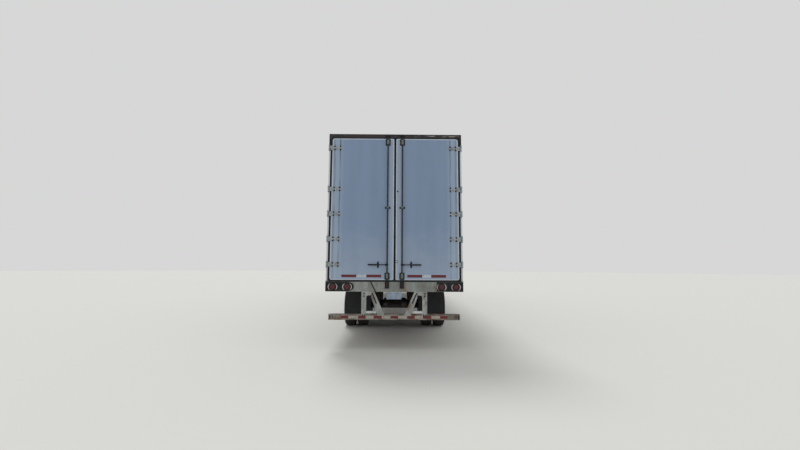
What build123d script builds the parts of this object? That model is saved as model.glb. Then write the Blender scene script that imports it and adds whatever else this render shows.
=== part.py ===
from build123d import *
from math import cos, pi, sin
import os

# A 53 ft box semi trailer, parked on its tyres and landing gear, with two swinging rear doors.
# Millimetres. +X points to the nose, +Y to the trailer's left, +Z up, and the ground is z = 0.
# Places along the trailer are measured forward from the rear face of the rear frame, then moved so
# that the middle of the whole trailer is at x = 0.

# Overall sizes
length = 16154.0
width = 2591.0
height = 4115.0
nose_reach = 75.0  # how far the hose connectors stand ahead of the nose

# Box: walls, rails, floor and roof
rail_inset = 5.0  # faces of rails and posts inside the overall width
wall_inset = 3.0  # wall skin inside the faces of the rails
wall_thick = 14.0
flange_thick = 6.0
bottom_rail_height = 242.0
bottom_rail_rise = 63.0  # top of the bottom rail above the floor
wall_foot = 40.0  # how deep the wall stands in the bottom rail
top_rail_height = 150.0
wall_head = 35.0  # how deep the wall stands in the top rail
roof_drop = 10.0  # underside of the roof sheet below the top of the rear header
roof_thick = 3.0
rail_shelf = 36.0  # width of the shelves that carry crossmembers and roof bows
shelf_thick = 8.0
floor_thick = 35.0
beam_height = 102.0
beam_flange = 57.0
beam_web = 6.0
beam_pitch = 304.8
first_beam_x = 260.0
bow_pitch = 609.6
first_bow_x = 500.0
bow_width = 50.0
bow_height = 35.0
bow_thick = 3.0
corner_radius = 120.0  # rounded front corners of the box
corner_leg = 150.0  # how far a front corner post reaches round from the nose and from the side
front_beam_depth = 60.0
front_header_height = 75.0
seat_gap = 0.3  # between pieces that slide or push together

# Rear frame
frame_depth = 110.0
sill_rise = 4.0  # top of the sill above the floor
sill_height = 203.0
header_height = 79.0
post_width = 55.0
lamp_box_length = 500.5
lamp_box_insets = (8.0, 24.0)  # from the bottom and from the top of the sill
lamp_box_thick = 5.0
lamp_rise = 87.0  # middle of the tail lamps above the bottom of the sill
lamp_insets = (407.5, 136.5)  # from the overall width
lamp_radius = 54.0
lamp_depth = 15.0
lamp_flat_count = 16
marker_length = 64.0
marker_height = 22.0
marker_depth = 5.0
header_lamp_ys = (0.0, 230.0)
header_lamp_inset = 100.5
nose_lamp_inset = 230.5
side_lamp_inset = 420.0  # first and last side lamps, from the ends of the box

# Doors
door_inner_y = 20.5
door_side_gap = 13.5  # from the door to the post, filled by the seal
door_end_gap = 14.0  # from the door to the sill and to the header
door_thick = 20.0
door_proud = 5.0  # the panel's outer face behind the frame's rear face
door_corner_radius = 40.0
seal_width = 8.0
seam_half = 4.0  # half of the gap between the two doors' seals
seal_setback = 2.0

# Hinges
hinge_rises = (289.0, 769.0, 1253.0, 1733.0)  # above the bottom of the door
top_hinge_drop = 190.0  # below the top of the door
hinge_barrel_radius = 12.5
hinge_pin_radius = 6.5
hinge_pin_proud = 20.0  # pin behind the outer face of the door
strap_height = 85.0
strap_length = 179.0  # along the door from its edge
strap_thick = 6.0
strap_neck = 24.0  # from the pin's middle to where the strap lies flat on the door
strap_waist = 12.0  # how far the strap narrows above and below, between its two rows of bolts
waist_half = 32.0
ear_thick = 12.0
ear_gap = 1.0
hinge_flat_count = 10

# Lock rods, handles and keepers
rod_y = 140.0
rod_radius = 13.5
rod_offset = 30.0  # rod axis behind the outer face of the door
rod_top_drop = 14.0
rod_foot = 15.0  # end of the rod above the bottom of its keeper
guide_width = 98.0
guide_corner = 18.0
guide_plate_thick = 5.0
guide_saddle = 5.2
end_guide = (139.0, 5.0, 115.0, 55.0)  # plate and saddle: far and near ends, from the end of the door
middle_guide_z = 2656.0
middle_guide = (16.0, 14.0)  # half heights of its plate and its saddle
cam_reach = 22.0
cam_half_width = 11.0
keeper_half_width = 31.0
keeper_cheek = 6.0
keeper_plate_thick = 5.0
keeper_reach = 32.0
low_keeper_insets = (57.0, 16.0)  # from the bottom and from the top of the sill
high_keeper_rise = 10.0  # above the bottom of the header
low_cam_insets = (35.0, 30.0)  # from the ends of the keeper
high_cam_insets = (10.0, 10.0)
handle_rise = 285.0  # above the bottom of the door
handle_end_y = 505.0
handle_height = 22.0
handle_thick = 9.0
handle_clamp = 6.0  # wall of the clamp round the rod, and its height above and below the handle
retainer_y = 314.0
retainer_width = 34.0
retainer_height = 131.0
retainer_thick = 8.0

# Rear impact guard and licence plate
guard_inset = 70.0  # ends of the bar inside the overall width
guard_tube = 106.0
guard_top_z = 654.0
guard_corner_radius = 12.0
guard_wall = 6.0
guard_lap = 30.0  # how far the uprights lap down over the bar's face
guard_post_inner_y = 526.0
guard_post_outer_y = 614.0
guard_brace_top_ys = (378.0, 472.0)
guard_brace_foot_ys = (179.0, 308.0)
guard_arch_drop = 100.0  # foot of the arch below the sill
guard_arch_rise = 34.0
guard_plate = 5.0
guard_flange = 55.0
step_rise = 52.0  # above the bar
step_lip_height = 38.0  # folded down at the rear edge of the step
step_lap = 2.0  # how far the step runs into the flanges that carry it
plate_drop = 11.0  # below the sill
plate_height = 130.0
plate_ys = (-128.0, 148.0)
plate_x = 8.0
plate_thick = 2.0
plate_tab = 20.0

# Wheels and tyres
rear_axle_x = 3050.0
axle_spacing = 1245.0
tyre_radius = 508.0
tyre_width = 282.0
tread_width = 224.0
tyre_bulge_radius = 430.0
tyre_flat_count = 28
tyre_clearance = 114.0  # crossmembers above the tyres
tyre_inset = 5.5  # outer tyre inside the overall width
rim_radius = 286.0
bead_width = 224.0
dual_spacing = 330.0
rim_reach = 286.0
rim_well_radius = 248.0  # inside of the outer rim
disc_face = 11.0  # face of the disc beyond the middle of the pair
disc_bell_radius = 172.0
disc_bell_reach = 60.0  # from the disc's face to where it meets the rim
hub_flange_radius = 104.0
hub_flange_reach = 58.0
hub_radius = 84.0
hub_reach = 190.0
wheel_flat_count = 20
hub_flat_count = 10

# Axles and suspension
axle_radius = 63.5
spindle_radius = 40.0
spindle_length = 150.0
arm_inset = 228.0  # middle of the arms inside the wheels
arm_width = 80.0
pivot_ahead = 480.0
pivot_rise = 92.0  # pivot bolt and seats of the air springs above the axle
pivot_radius = 22.0
arm_eye_radius = 55.0
arm_seat_half = 100.0  # the arm's seat round the axle: half length, rise and drop from the axle's middle
arm_seat_rise = 92.0
arm_seat_drop = 80.0
arm_tail_thick = 40.0
spring_behind = 310.0
spring_radius = 130.0
chamber_inset = 220.0  # middle of the brake chambers inside the arms
chamber_radius = 80.0
chamber_length = 160.0
chamber_rise = 40.0  # above the axle
chamber_behind = 90.0
bracket_half_width = 45.0
bracket_front = 40.0  # behind the axle's middle
bracket_drop = 30.0  # below the axle's middle
bracket_rise = 50.0  # above the chamber's middle
shaft_flat_count = 12
drum_flat_count = 16

# Slider
body_rail_ends = (200.0, 5900.0)
body_rail_width = 76.0
body_rail_height = 120.0
body_rail_wall = 8.0
slider_behind = 800.0  # behind the rear axle
slider_ahead = 885.0  # ahead of the front axle
slider_height = 110.0
slider_width = 90.0
slider_tube = 80.0
slider_tube_rise = 10.0
hanger_drop = 60.0  # below the pivot
hanger_half_top = 110.0
hanger_half_foot = 60.0
cheek_thick = 10.0
cheek_gap = 5.0

# Mud flaps
flap_behind = 720.0  # behind the rear axle
flap_thick = 10.0
flap_reach = (394.0, 216.0)  # inwards and outwards from the middle of the tyres
flap_bottom_z = 280.0
flap_bar = 40.0
flap_bar_drop = 45.0  # below the body rails

# Air tank
tank_x = 6400.0
tank_radius = 130.0
tank_length = 750.0
tank_gap = 12.0
tank_saddle_y = 250.0
tank_saddle_width = 40.0
tank_saddle_half_length = 70.0
tank_saddle_low = 60.0  # above the tank's middle

# Coupler and kingpin
coupler_length = 1700.0
coupler_side_gap = 131.5  # to the shelves of the bottom rails
coupler_depth = 46.0  # below the floor
coupler_plate_thick = 8.0
coupler_rib_pitch = 260.0
coupler_rib = 30.0
kingpin_behind_nose = 914.0
kingpin_collar_radius = 36.5
kingpin_neck_radius = 25.4
kingpin_flange_radius = 35.75
kingpin_collar = 36.0
kingpin_neck = 35.0
kingpin_flange = 13.0

# Landing gear
gear_behind_kingpin = 2750.0
leg_inset = 390.5  # middle of the leg inside the faces of the rails
leg_size = 140.0
leg_wall = 12.0
leg_bottom_z = 420.0
inner_leg_drop = 150.0  # top of the inner leg below the crossmembers
inner_leg_bottom_z = 70.0
shoe_length = 280.0
shoe_flat = 220.0
shoe_half_width = 120.0
shoe_rise = 36.0
shoe_thick = 10.0
cross_shaft_radius = 17.0
cross_shaft_drop = 180.0  # below the crossmembers
brace_rise = 140.0  # foot of the braces above the end of the outer leg
brace_width = 50.0
brace_thick = 8.0
side_brace_run = 520.0  # from the middle of the leg to the top of its side brace
long_brace_behind = 760.0
gearbox_size = (170.0, 70.0, 180.0)
crank_radius = 11.0
crank_reach = 140.0
crank_arm = 320.0
crank_grip = 110.0
crank_flat_count = 12

# Connectors on the nose
connector_rise = 233.0  # above the floor
connector_plate = (9.0, 620.0, 110.0)
gladhand_y = 215.0
gladhand_radius = 34.0
gladhand_reach = 58.0
socket_radius = 42.0

# Heights worked out from the sizes above: the floor stands over the tyres, and what carries it hangs below
axle_z = tyre_radius
beam_bottom_z = 2 * tyre_radius + tyre_clearance
floor_bottom_z = beam_bottom_z + beam_height
floor_top_z = floor_bottom_z + floor_thick
bottom_rail_top_z = floor_top_z + bottom_rail_rise
bottom_rail_low_z = bottom_rail_top_z - bottom_rail_height
wall_bottom_z = bottom_rail_top_z - wall_foot
roof_bottom_z = height - roof_drop
top_rail_low_z = roof_bottom_z - top_rail_height
wall_top_z = top_rail_low_z + wall_head
sill_top_z = floor_top_z + sill_rise
sill_bottom_z = sill_top_z - sill_height
header_bottom_z = height - header_height
lamp_box_low_z = sill_bottom_z + lamp_box_insets[0]
lamp_box_top_z = sill_top_z - lamp_box_insets[1]
lamp_z = sill_bottom_z + lamp_rise
door_bottom_z = sill_top_z + door_end_gap
door_top_z = header_bottom_z - door_end_gap
handle_z = door_bottom_z + handle_rise
hinge_zs = [door_bottom_z + rise for rise in hinge_rises] + [door_top_z - top_hinge_drop]
rod_top_z = height - rod_top_drop
keeper_spans = [
    (sill_bottom_z + low_keeper_insets[0], sill_top_z - low_keeper_insets[1]),
    (header_bottom_z + high_keeper_rise, rod_top_z),
]
cam_spans = [
    (keeper_spans[0][0] + low_cam_insets[0], keeper_spans[0][1] - low_cam_insets[1]),
    (keeper_spans[1][0] + high_cam_insets[0], keeper_spans[1][1] - high_cam_insets[1]),
]
rod_bottom_z = keeper_spans[0][0] + rod_foot
guard_arch_z = sill_bottom_z - guard_arch_drop
step_z = guard_top_z + step_rise
plate_top_z = sill_bottom_z - plate_drop
plate_low_z = plate_top_z - plate_height
pivot_z = axle_z + pivot_rise
spring_seat_z = pivot_z
chamber_z = axle_z + chamber_rise
hanger_foot_z = pivot_z - hanger_drop
body_rail_low_z = beam_bottom_z - body_rail_height
slider_low_z = body_rail_low_z - slider_height
flap_bar_z = body_rail_low_z - flap_bar_drop
coupler_low_z = floor_bottom_z - coupler_depth
inner_leg_top_z = beam_bottom_z - inner_leg_drop
cross_shaft_z = beam_bottom_z - cross_shaft_drop
brace_low_z = leg_bottom_z + brace_rise
connector_z = floor_top_z + connector_rise

# Places across, from the overall width inwards
side_y = width / 2 - rail_inset
wall_y = side_y - wall_inset
wall_inner_y = wall_y - wall_thick
flange_inner_y = wall_inner_y - flange_thick
shelf_inner_y = flange_inner_y - rail_shelf
post_inner_y = side_y - post_width
door_outer_y = post_inner_y - door_side_gap
strap_end_y = door_outer_y - strap_length
hinge_y = width / 2 - hinge_barrel_radius
lamp_box_inner_y = width / 2 - lamp_box_length
lamp_ys = [width / 2 - inset for inset in lamp_insets]
header_lamp_y = side_y - header_lamp_inset
nose_lamp_y = side_y - nose_lamp_inset
guard_half_width = width / 2 - guard_inset
dual_centre_y = width / 2 - tyre_inset - tyre_width / 2 - dual_spacing / 2
wheel_back_y = dual_centre_y - rim_reach
arm_y = wheel_back_y - arm_inset
chamber_y = arm_y - chamber_inset
flap_ys = (dual_centre_y - flap_reach[0], dual_centre_y + flap_reach[1])
coupler_half_width = shelf_inner_y - coupler_side_gap
leg_y = side_y - leg_inset
side_brace_in_y = leg_y - side_brace_run

# Places along, forward from the rear face of the rear frame
door_face_x = -door_proud
door_back_x = door_face_x + door_thick
hinge_x = door_face_x - hinge_pin_proud
rod_x = door_face_x - rod_offset
guide_radius = rod_radius + seat_gap + guide_saddle
rear_reach = guide_radius - rod_x
rear_x = (rear_reach - nose_reach - length) / 2
axle_xs = (rear_axle_x, rear_axle_x + axle_spacing)
slider_ends = (axle_xs[0] - slider_behind, axle_xs[1] + slider_ahead)
flap_x = axle_xs[0] - flap_behind
coupler_rear_x = length - coupler_length
kingpin_x = length - kingpin_behind_nose
gear_x = kingpin_x - gear_behind_kingpin


def block(x0, x1, y0, y1, z0, z1):
    return Pos((x0 + x1) / 2, (y0 + y1) / 2, (z0 + z1) / 2) * Box(x1 - x0, y1 - y0, z1 - z0)


def outline(points):
    return make_face(Polyline(*points, close=True))


# Solids pushed out from a face drawn in (y, z), (x, z) or (x, y)
def along_x(face, x0, x1):
    return extrude(Plane.YZ.offset(x0) * face, x1 - x0)


def along_y(face, y0, y1):
    return extrude(Plane.XZ.offset(-y1) * face, y1 - y0)


def along_z(face, z0, z1):
    return extrude(Plane.XY.offset(z0) * face, z1 - z0)


# Round pieces that repeat are drawn in flats: the corners of a bar lie on its circle, and the flats of a
# hole lie on its own, so a bar turns freely in its hole
def round_bar(radius, flats):
    return RegularPolygon(radius, flats)


def round_hole(radius, flats):
    return RegularPolygon(radius, flats, major_radius=False)


def rod_along_y(radius, x, z, y0, y1, flats=shaft_flat_count):
    return along_y(Pos(x, z) * round_bar(radius, flats), y0, y1)


# A section of (y, radius) points turned round the Y axis in flats that stand clear of its true circles
def turned_in_flats(section, flats):
    half_turn = pi / flats
    rings = []
    for y, radius in section:
        reach = radius / cos(half_turn)
        turns = [(2 * i + 1) * half_turn for i in range(flats)]
        rings.append([(reach * cos(turn), y, reach * sin(turn)) for turn in turns])
    panels = []
    for near, far in zip(rings, rings[1:] + rings[:1]):
        for i in range(flats):
            corners = (near[i - 1], near[i], far[i], far[i - 1])
            panels.append(make_face(Polyline(*corners, close=True)).face())
    return Solid(Shell(panels))


def other_side(shape):
    return mirror(shape, about=Plane.XZ)


def both_sides(shape):
    return [shape, other_side(shape)]


def save(name, shapes):
    solids = [solid for shape in shapes for solid in shape.solids()]
    export_step(Compound(solids).moved(Location((rear_x, 0, 0))), f"parts/{name}.step")


os.makedirs("parts", exist_ok=True)

# Side walls: flush panels between the rails, from the rear posts to the front corner posts
wall = block(frame_depth, length - corner_leg, wall_inner_y, wall_y, wall_bottom_z, wall_top_z)
save("side_walls", both_sides(wall))

# Bottom rails: a skin outside, a groove for the wall and a shelf for the crossmembers
bottom_rail_points = [
    (side_y, bottom_rail_low_z),
    (side_y, bottom_rail_top_z),
    (wall_y, bottom_rail_top_z),
    (wall_y, wall_bottom_z),
    (wall_inner_y, wall_bottom_z),
    (wall_inner_y, bottom_rail_top_z),
    (flange_inner_y, bottom_rail_top_z),
    (flange_inner_y, beam_bottom_z),
    (shelf_inner_y, beam_bottom_z),
    (shelf_inner_y, beam_bottom_z - shelf_thick),
    (side_y - flange_thick, beam_bottom_z - shelf_thick),
    (side_y - flange_thick, bottom_rail_low_z),
]
bottom_rail = along_x(outline(bottom_rail_points), frame_depth, length - corner_leg)
save("bottom_rails", both_sides(bottom_rail))

# Top rails: a groove for the wall, a rounded shoulder and a shelf for the roof bows
shoulder = flange_thick + wall_thick
top_rail_edge = Polyline(
    (side_y - shoulder, roof_bottom_z),
    (shelf_inner_y, roof_bottom_z),
    (shelf_inner_y, roof_bottom_z - shelf_thick),
    (flange_inner_y, roof_bottom_z - shelf_thick),
    (flange_inner_y, top_rail_low_z),
    (wall_inner_y, top_rail_low_z),
    (wall_inner_y, wall_top_z),
    (wall_y, wall_top_z),
    (wall_y, top_rail_low_z),
    (side_y, top_rail_low_z),
    (side_y, roof_bottom_z - shoulder),
)
shoulder_low = (side_y, roof_bottom_z - shoulder)
shoulder_top = (side_y - shoulder, roof_bottom_z)
top_rail_face = make_face([*top_rail_edge.edges(), RadiusArc(shoulder_low, shoulder_top, -shoulder)])
top_rail = along_x(top_rail_face, frame_depth, length - corner_leg)
save("top_rails", both_sides(top_rail))

# Front corner posts: each bends round a corner from the side wall to the front wall
post_thick = wall_inset + wall_thick
leg_x = length - corner_leg
leg_end_y = side_y - corner_leg
arc_x = length - corner_radius
arc_y = side_y - corner_radius
outer_arc = RadiusArc((arc_x, side_y), (length, arc_y), corner_radius)
inner_radius = corner_radius - post_thick
inner_arc = RadiusArc((length - post_thick, arc_y), (arc_x, side_y - post_thick), -inner_radius)
corner_edges = [
    Line((leg_x, side_y), (arc_x, side_y)),
    outer_arc,
    Line((length, arc_y), (length, leg_end_y)),
    Line((length, leg_end_y), (length - post_thick, leg_end_y)),
    Line((length - post_thick, leg_end_y), (length - post_thick, arc_y)),
    inner_arc,
    Line((arc_x, side_y - post_thick), (leg_x, side_y - post_thick)),
    Line((leg_x, side_y - post_thick), (leg_x, side_y)),
]
corner_post = along_z(make_face(corner_edges), beam_bottom_z, roof_bottom_z)
save("front_corner_posts", both_sides(corner_post))

# Front wall with a beam above and below it
front_x = length - front_beam_depth
header_low_z = roof_bottom_z - front_header_height
front_wall_face = Rectangle(post_thick - wall_inset, 2 * leg_end_y)
front_wall_x = length - (post_thick + wall_inset) / 2
save("front_wall", [along_z(Pos(front_wall_x, 0) * front_wall_face, wall_bottom_z, header_low_z)])
front_header = block(front_x, length, -leg_end_y, leg_end_y, header_low_z, roof_bottom_z)
front_sill = block(front_x, length, -leg_end_y, leg_end_y, beam_bottom_z, wall_bottom_z)
save("front_beams", [front_header, front_sill])

# Roof sheet over rails, beams and bows, with the same rounded front corners
roof_edge = side_y - wall_inset
roof_face = Pos((frame_depth + length - wall_inset) / 2, 0) * Rectangle(
    length - wall_inset - frame_depth, 2 * roof_edge
)
roof_face = fillet(roof_face.vertices().group_by(Axis.X)[-1], corner_radius - wall_inset)
save("roof_sheet", [along_z(roof_face, roof_bottom_z, roof_bottom_z + roof_thick)])

# Roof bows: channels that carry the sheet between the shelves of the top rails
bow_half = bow_width / 2
bow_low_z = roof_bottom_z - bow_height
bow_points = [
    (-bow_half, roof_bottom_z),
    (-bow_half, bow_low_z),
    (bow_half, bow_low_z),
    (bow_half, roof_bottom_z),
    (bow_half - bow_thick, roof_bottom_z),
    (bow_half - bow_thick, bow_low_z + bow_thick),
    (bow_thick - bow_half, bow_low_z + bow_thick),
    (bow_thick - bow_half, roof_bottom_z),
]
bow_end_y = shelf_inner_y - seat_gap
bow = along_y(outline(bow_points), -bow_end_y, bow_end_y)
bow_count = int((front_x - bow_half - first_bow_x) / bow_pitch) + 1
save("roof_bows", [Pos(first_bow_x + i * bow_pitch, 0, 0) * bow for i in range(bow_count)])

# Floor, its front corners cut back to clear the round corner posts
floor_y = flange_inner_y - seat_gap
floor_points = [
    (frame_depth, -floor_y),
    (leg_x, -floor_y),
    (front_x, -leg_end_y),
    (front_x, leg_end_y),
    (leg_x, floor_y),
    (frame_depth, floor_y),
]
save("floor", [along_z(outline(floor_points), floor_bottom_z, floor_top_z)])

# Crossmembers: I beams that lie on the shelves of the bottom rails
half_flange = beam_flange / 2
half_web = beam_web / 2
beam_points = [
    (-half_flange, beam_bottom_z),
    (half_flange, beam_bottom_z),
    (half_flange, beam_bottom_z + beam_web),
    (half_web, beam_bottom_z + beam_web),
    (half_web, floor_bottom_z - beam_web),
    (half_flange, floor_bottom_z - beam_web),
    (half_flange, floor_bottom_z),
    (-half_flange, floor_bottom_z),
    (-half_flange, floor_bottom_z - beam_web),
    (-half_web, floor_bottom_z - beam_web),
    (-half_web, beam_bottom_z + beam_web),
    (-half_flange, beam_bottom_z + beam_web),
]
beam = along_y(outline(beam_points), -floor_y, floor_y)
beam_count = int((coupler_rear_x - half_flange - first_beam_x) / beam_pitch) + 1
save("crossmembers", [Pos(first_beam_x + i * beam_pitch, 0, 0) * beam for i in range(beam_count)])

# Coupler: a flat plate under the nose, with ribs up to the floor and a hole for the kingpin
coupler_plate_top_z = coupler_low_z + coupler_plate_thick
coupler_ys = (-coupler_half_width, coupler_half_width)
coupler = block(coupler_rear_x, front_x, *coupler_ys, coupler_low_z, coupler_plate_top_z)
rib_count = int((front_x - coupler_rear_x - coupler_rib) / coupler_rib_pitch) + 1
for i in range(rib_count):
    rib_x = coupler_rear_x + i * coupler_rib_pitch
    coupler += block(rib_x, rib_x + coupler_rib, *coupler_ys, coupler_plate_top_z, floor_bottom_z)
kingpin_hole = Pos(kingpin_x, 0) * round_bar(kingpin_collar_radius + seat_gap, drum_flat_count)
coupler -= along_z(kingpin_hole, coupler_low_z, coupler_plate_top_z)
save("coupler_plate", [coupler])

# Kingpin: set in the coupler plate, with a collar, a neck and a flange below it
neck_top_z = coupler_low_z - kingpin_collar
neck_low_z = neck_top_z - kingpin_neck
kingpin_bars = [
    (kingpin_collar_radius, neck_top_z, coupler_plate_top_z),
    (kingpin_neck_radius, neck_low_z, neck_top_z),
    (kingpin_flange_radius, neck_low_z - kingpin_flange, neck_low_z),
]
kingpin = Part()
for radius, low_z, top_z in kingpin_bars:
    kingpin += along_z(round_bar(radius, drum_flat_count), low_z, top_z)
save("kingpin", [Pos(kingpin_x, 0, 0) * kingpin])

# Rear frame: two posts between the header and the sill
post = block(0, frame_depth, post_inner_y, side_y, sill_top_z, header_bottom_z)
save("rear_posts", both_sides(post))
save("rear_header", [block(0, frame_depth, -side_y, side_y, header_bottom_z, height)])
save("rear_sill", [block(0, frame_depth, -width / 2, width / 2, sill_bottom_z, sill_top_z)])

# Lamp boxes on both ends of the sill, and the four round tail lamps in them
lamp_box_face = Pos((lamp_box_inner_y + width / 2) / 2, (lamp_box_low_z + lamp_box_top_z) / 2) * Rectangle(
    width / 2 - lamp_box_inner_y, lamp_box_top_z - lamp_box_low_z
)
for lamp_y in lamp_ys:
    lamp_box_face -= Pos(lamp_y, lamp_z) * round_bar(lamp_radius + seat_gap, lamp_flat_count)
save("lamp_boxes", both_sides(along_x(lamp_box_face, -lamp_box_thick, 0)))
lens = along_x(round_bar(lamp_radius, lamp_flat_count), -lamp_depth, 0)
tail_lamps = [s for y in lamp_ys for s in both_sides(Pos(0, y, lamp_z) * lens)]


# Red lamps: the tail lamps, and small marker lamps on the header and the rear ends of the rails
def marker_across(x0, y, z):
    half = marker_length / 2
    return block(x0, x0 + marker_depth, y - half, y + half, z - marker_height / 2, z + marker_height / 2)


def marker_on_side(x, z):
    half_long, half_tall = marker_length / 2, marker_height / 2
    return block(x - half_long, x + half_long, side_y, side_y + marker_depth, z - half_tall, z + half_tall)


header_lamp_z = (header_bottom_z + height) / 2
side_lamp_z = (bottom_rail_low_z + wall_bottom_z) / 2
header_places = [*header_lamp_ys, header_lamp_y]
red_lamps = [marker_across(-marker_depth, y, header_lamp_z) for y in header_places]
red_lamps += [marker_across(-marker_depth, -y, header_lamp_z) for y in header_places[1:]]
red_lamps += both_sides(marker_on_side(side_lamp_inset, side_lamp_z))
save("red_lamps", tail_lamps + red_lamps)

# Amber marker lamps on the nose, at the middle of the rails and at their front ends
amber_lamps = both_sides(marker_across(length, nose_lamp_y, header_low_z + front_header_height / 2))
amber_lamps += both_sides(marker_on_side(length / 2, side_lamp_z))
amber_lamps += both_sides(marker_on_side(length - side_lamp_inset, side_lamp_z))
save("amber_lamps", amber_lamps)

# Hinge butts: two ears on the post with a pin between them, for every strap
ear_low = strap_height / 2 + ear_gap
ear_ys = (hinge_y - hinge_barrel_radius, hinge_y + hinge_barrel_radius)
hinge_butt = Part()
for low in (ear_low, -ear_low - ear_thick):
    hinge_butt += block(hinge_x - hinge_barrel_radius, 0, *ear_ys, low, low + ear_thick)
pin_face = Pos(hinge_x, hinge_y) * round_bar(hinge_pin_radius, hinge_flat_count)
hinge_butt += along_z(pin_face, -ear_low, ear_low)
save("hinge_butts", [s for z in hinge_zs for s in both_sides(Pos(0, 0, z) * hinge_butt)])

# Keepers of the lock rods: channels on the sill and header, open to the rear
cheek_y = keeper_half_width + keeper_cheek
keeper_points = [
    (0, rod_y - cheek_y),
    (0, rod_y + cheek_y),
    (-keeper_reach, rod_y + cheek_y),
    (-keeper_reach, rod_y + keeper_half_width),
    (-keeper_plate_thick, rod_y + keeper_half_width),
    (-keeper_plate_thick, rod_y - keeper_half_width),
    (-keeper_reach, rod_y - keeper_half_width),
    (-keeper_reach, rod_y - cheek_y),
]
keepers = [along_z(outline(keeper_points), low, top) for low, top in keeper_spans]
save("rod_keepers", [s for keeper in keepers for s in both_sides(keeper)])

# Licence plate, hung on two tabs below the sill
plate = block(plate_x, plate_x + plate_thick, *plate_ys, plate_low_z, plate_top_z)
for y in (plate_ys[0] + 2 * plate_tab, plate_ys[1] - 3 * plate_tab):
    plate += block(plate_x, plate_x + plate_thick, y, y + plate_tab, plate_top_z, sill_bottom_z)
save("licence_plate", [plate])

# Rear impact guard: a square tube on two pressed uprights, each a post and a brace under one arch
bar_face = Pos(guard_tube / 2, guard_top_z - guard_tube / 2) * Rectangle(guard_tube, guard_tube)
bar_face = fillet(bar_face.vertices(), guard_corner_radius)
bar_inside = guard_tube - 2 * guard_wall
bar_face -= Pos(guard_tube / 2, guard_top_z - guard_tube / 2) * Rectangle(bar_inside, bar_inside)
save("guard_bar", [along_y(bar_face, -guard_half_width, guard_half_width)])


def brace_y(edge, z):
    foot_z = guard_top_z - guard_lap
    share = (z - foot_z) / (sill_bottom_z - foot_z)
    return guard_brace_foot_ys[edge] + share * (guard_brace_top_ys[edge] - guard_brace_foot_ys[edge])


def upright_face(foot_z):
    arch_start = (brace_y(1, guard_arch_z), guard_arch_z)
    arch_end = (guard_post_inner_y, guard_arch_z)
    arch_top = ((arch_start[0] + arch_end[0]) / 2, guard_arch_z + guard_arch_rise)
    edge = Polyline(
        arch_end,
        (guard_post_inner_y, foot_z),
        (guard_post_outer_y, foot_z),
        (guard_post_outer_y, sill_bottom_z),
        (brace_y(0, sill_bottom_z), sill_bottom_z),
        (brace_y(0, foot_z), foot_z),
        (brace_y(1, foot_z), foot_z),
        arch_start,
    )
    return make_face([*edge.edges(), ThreePointArc(arch_start, arch_top, arch_end)])


flange_face = upright_face(guard_top_z)
flange_ring = flange_face - offset(flange_face, -guard_plate, kind=Kind.INTERSECTION)
upright = along_x(upright_face(guard_top_z - guard_lap), -guard_plate, 0)
upright += along_x(flange_ring, 0, guard_flange)
step_ys = (brace_y(1, step_z) - step_lap, guard_post_inner_y + step_lap)
upright += block(0, guard_flange, *step_ys, step_z - guard_plate / 2, step_z + guard_plate / 2)
upright += block(0, guard_plate, *step_ys, step_z - step_lip_height, step_z)
save("guard_uprights", both_sides(upright))

# Mud flaps, hung from bars on the slider
flap = block(flap_x, flap_x + flap_thick, *flap_ys, flap_bottom_z, flap_bar_z)
save("mud_flaps", both_sides(flap))
flap_bar_x = flap_x + flap_thick / 2 - flap_bar / 2
hanger_ys = (arm_y + slider_width / 2, flap_ys[1])
flap_hanger = block(flap_bar_x, flap_bar_x + flap_bar, *hanger_ys, flap_bar_z, flap_bar_z + flap_bar)

# Body rails of the slider: channels under the crossmembers, open inwards
rail_half = body_rail_width / 2
body_rail_points = [
    (arm_y - rail_half, body_rail_low_z),
    (arm_y + rail_half, body_rail_low_z),
    (arm_y + rail_half, beam_bottom_z),
    (arm_y - rail_half, beam_bottom_z),
    (arm_y - rail_half, beam_bottom_z - body_rail_wall),
    (arm_y + rail_half - body_rail_wall, beam_bottom_z - body_rail_wall),
    (arm_y + rail_half - body_rail_wall, body_rail_low_z + body_rail_wall),
    (arm_y - rail_half, body_rail_low_z + body_rail_wall),
]
body_rail = along_x(outline(body_rail_points), *body_rail_ends)
save("slider_rails", both_sides(body_rail))

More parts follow.
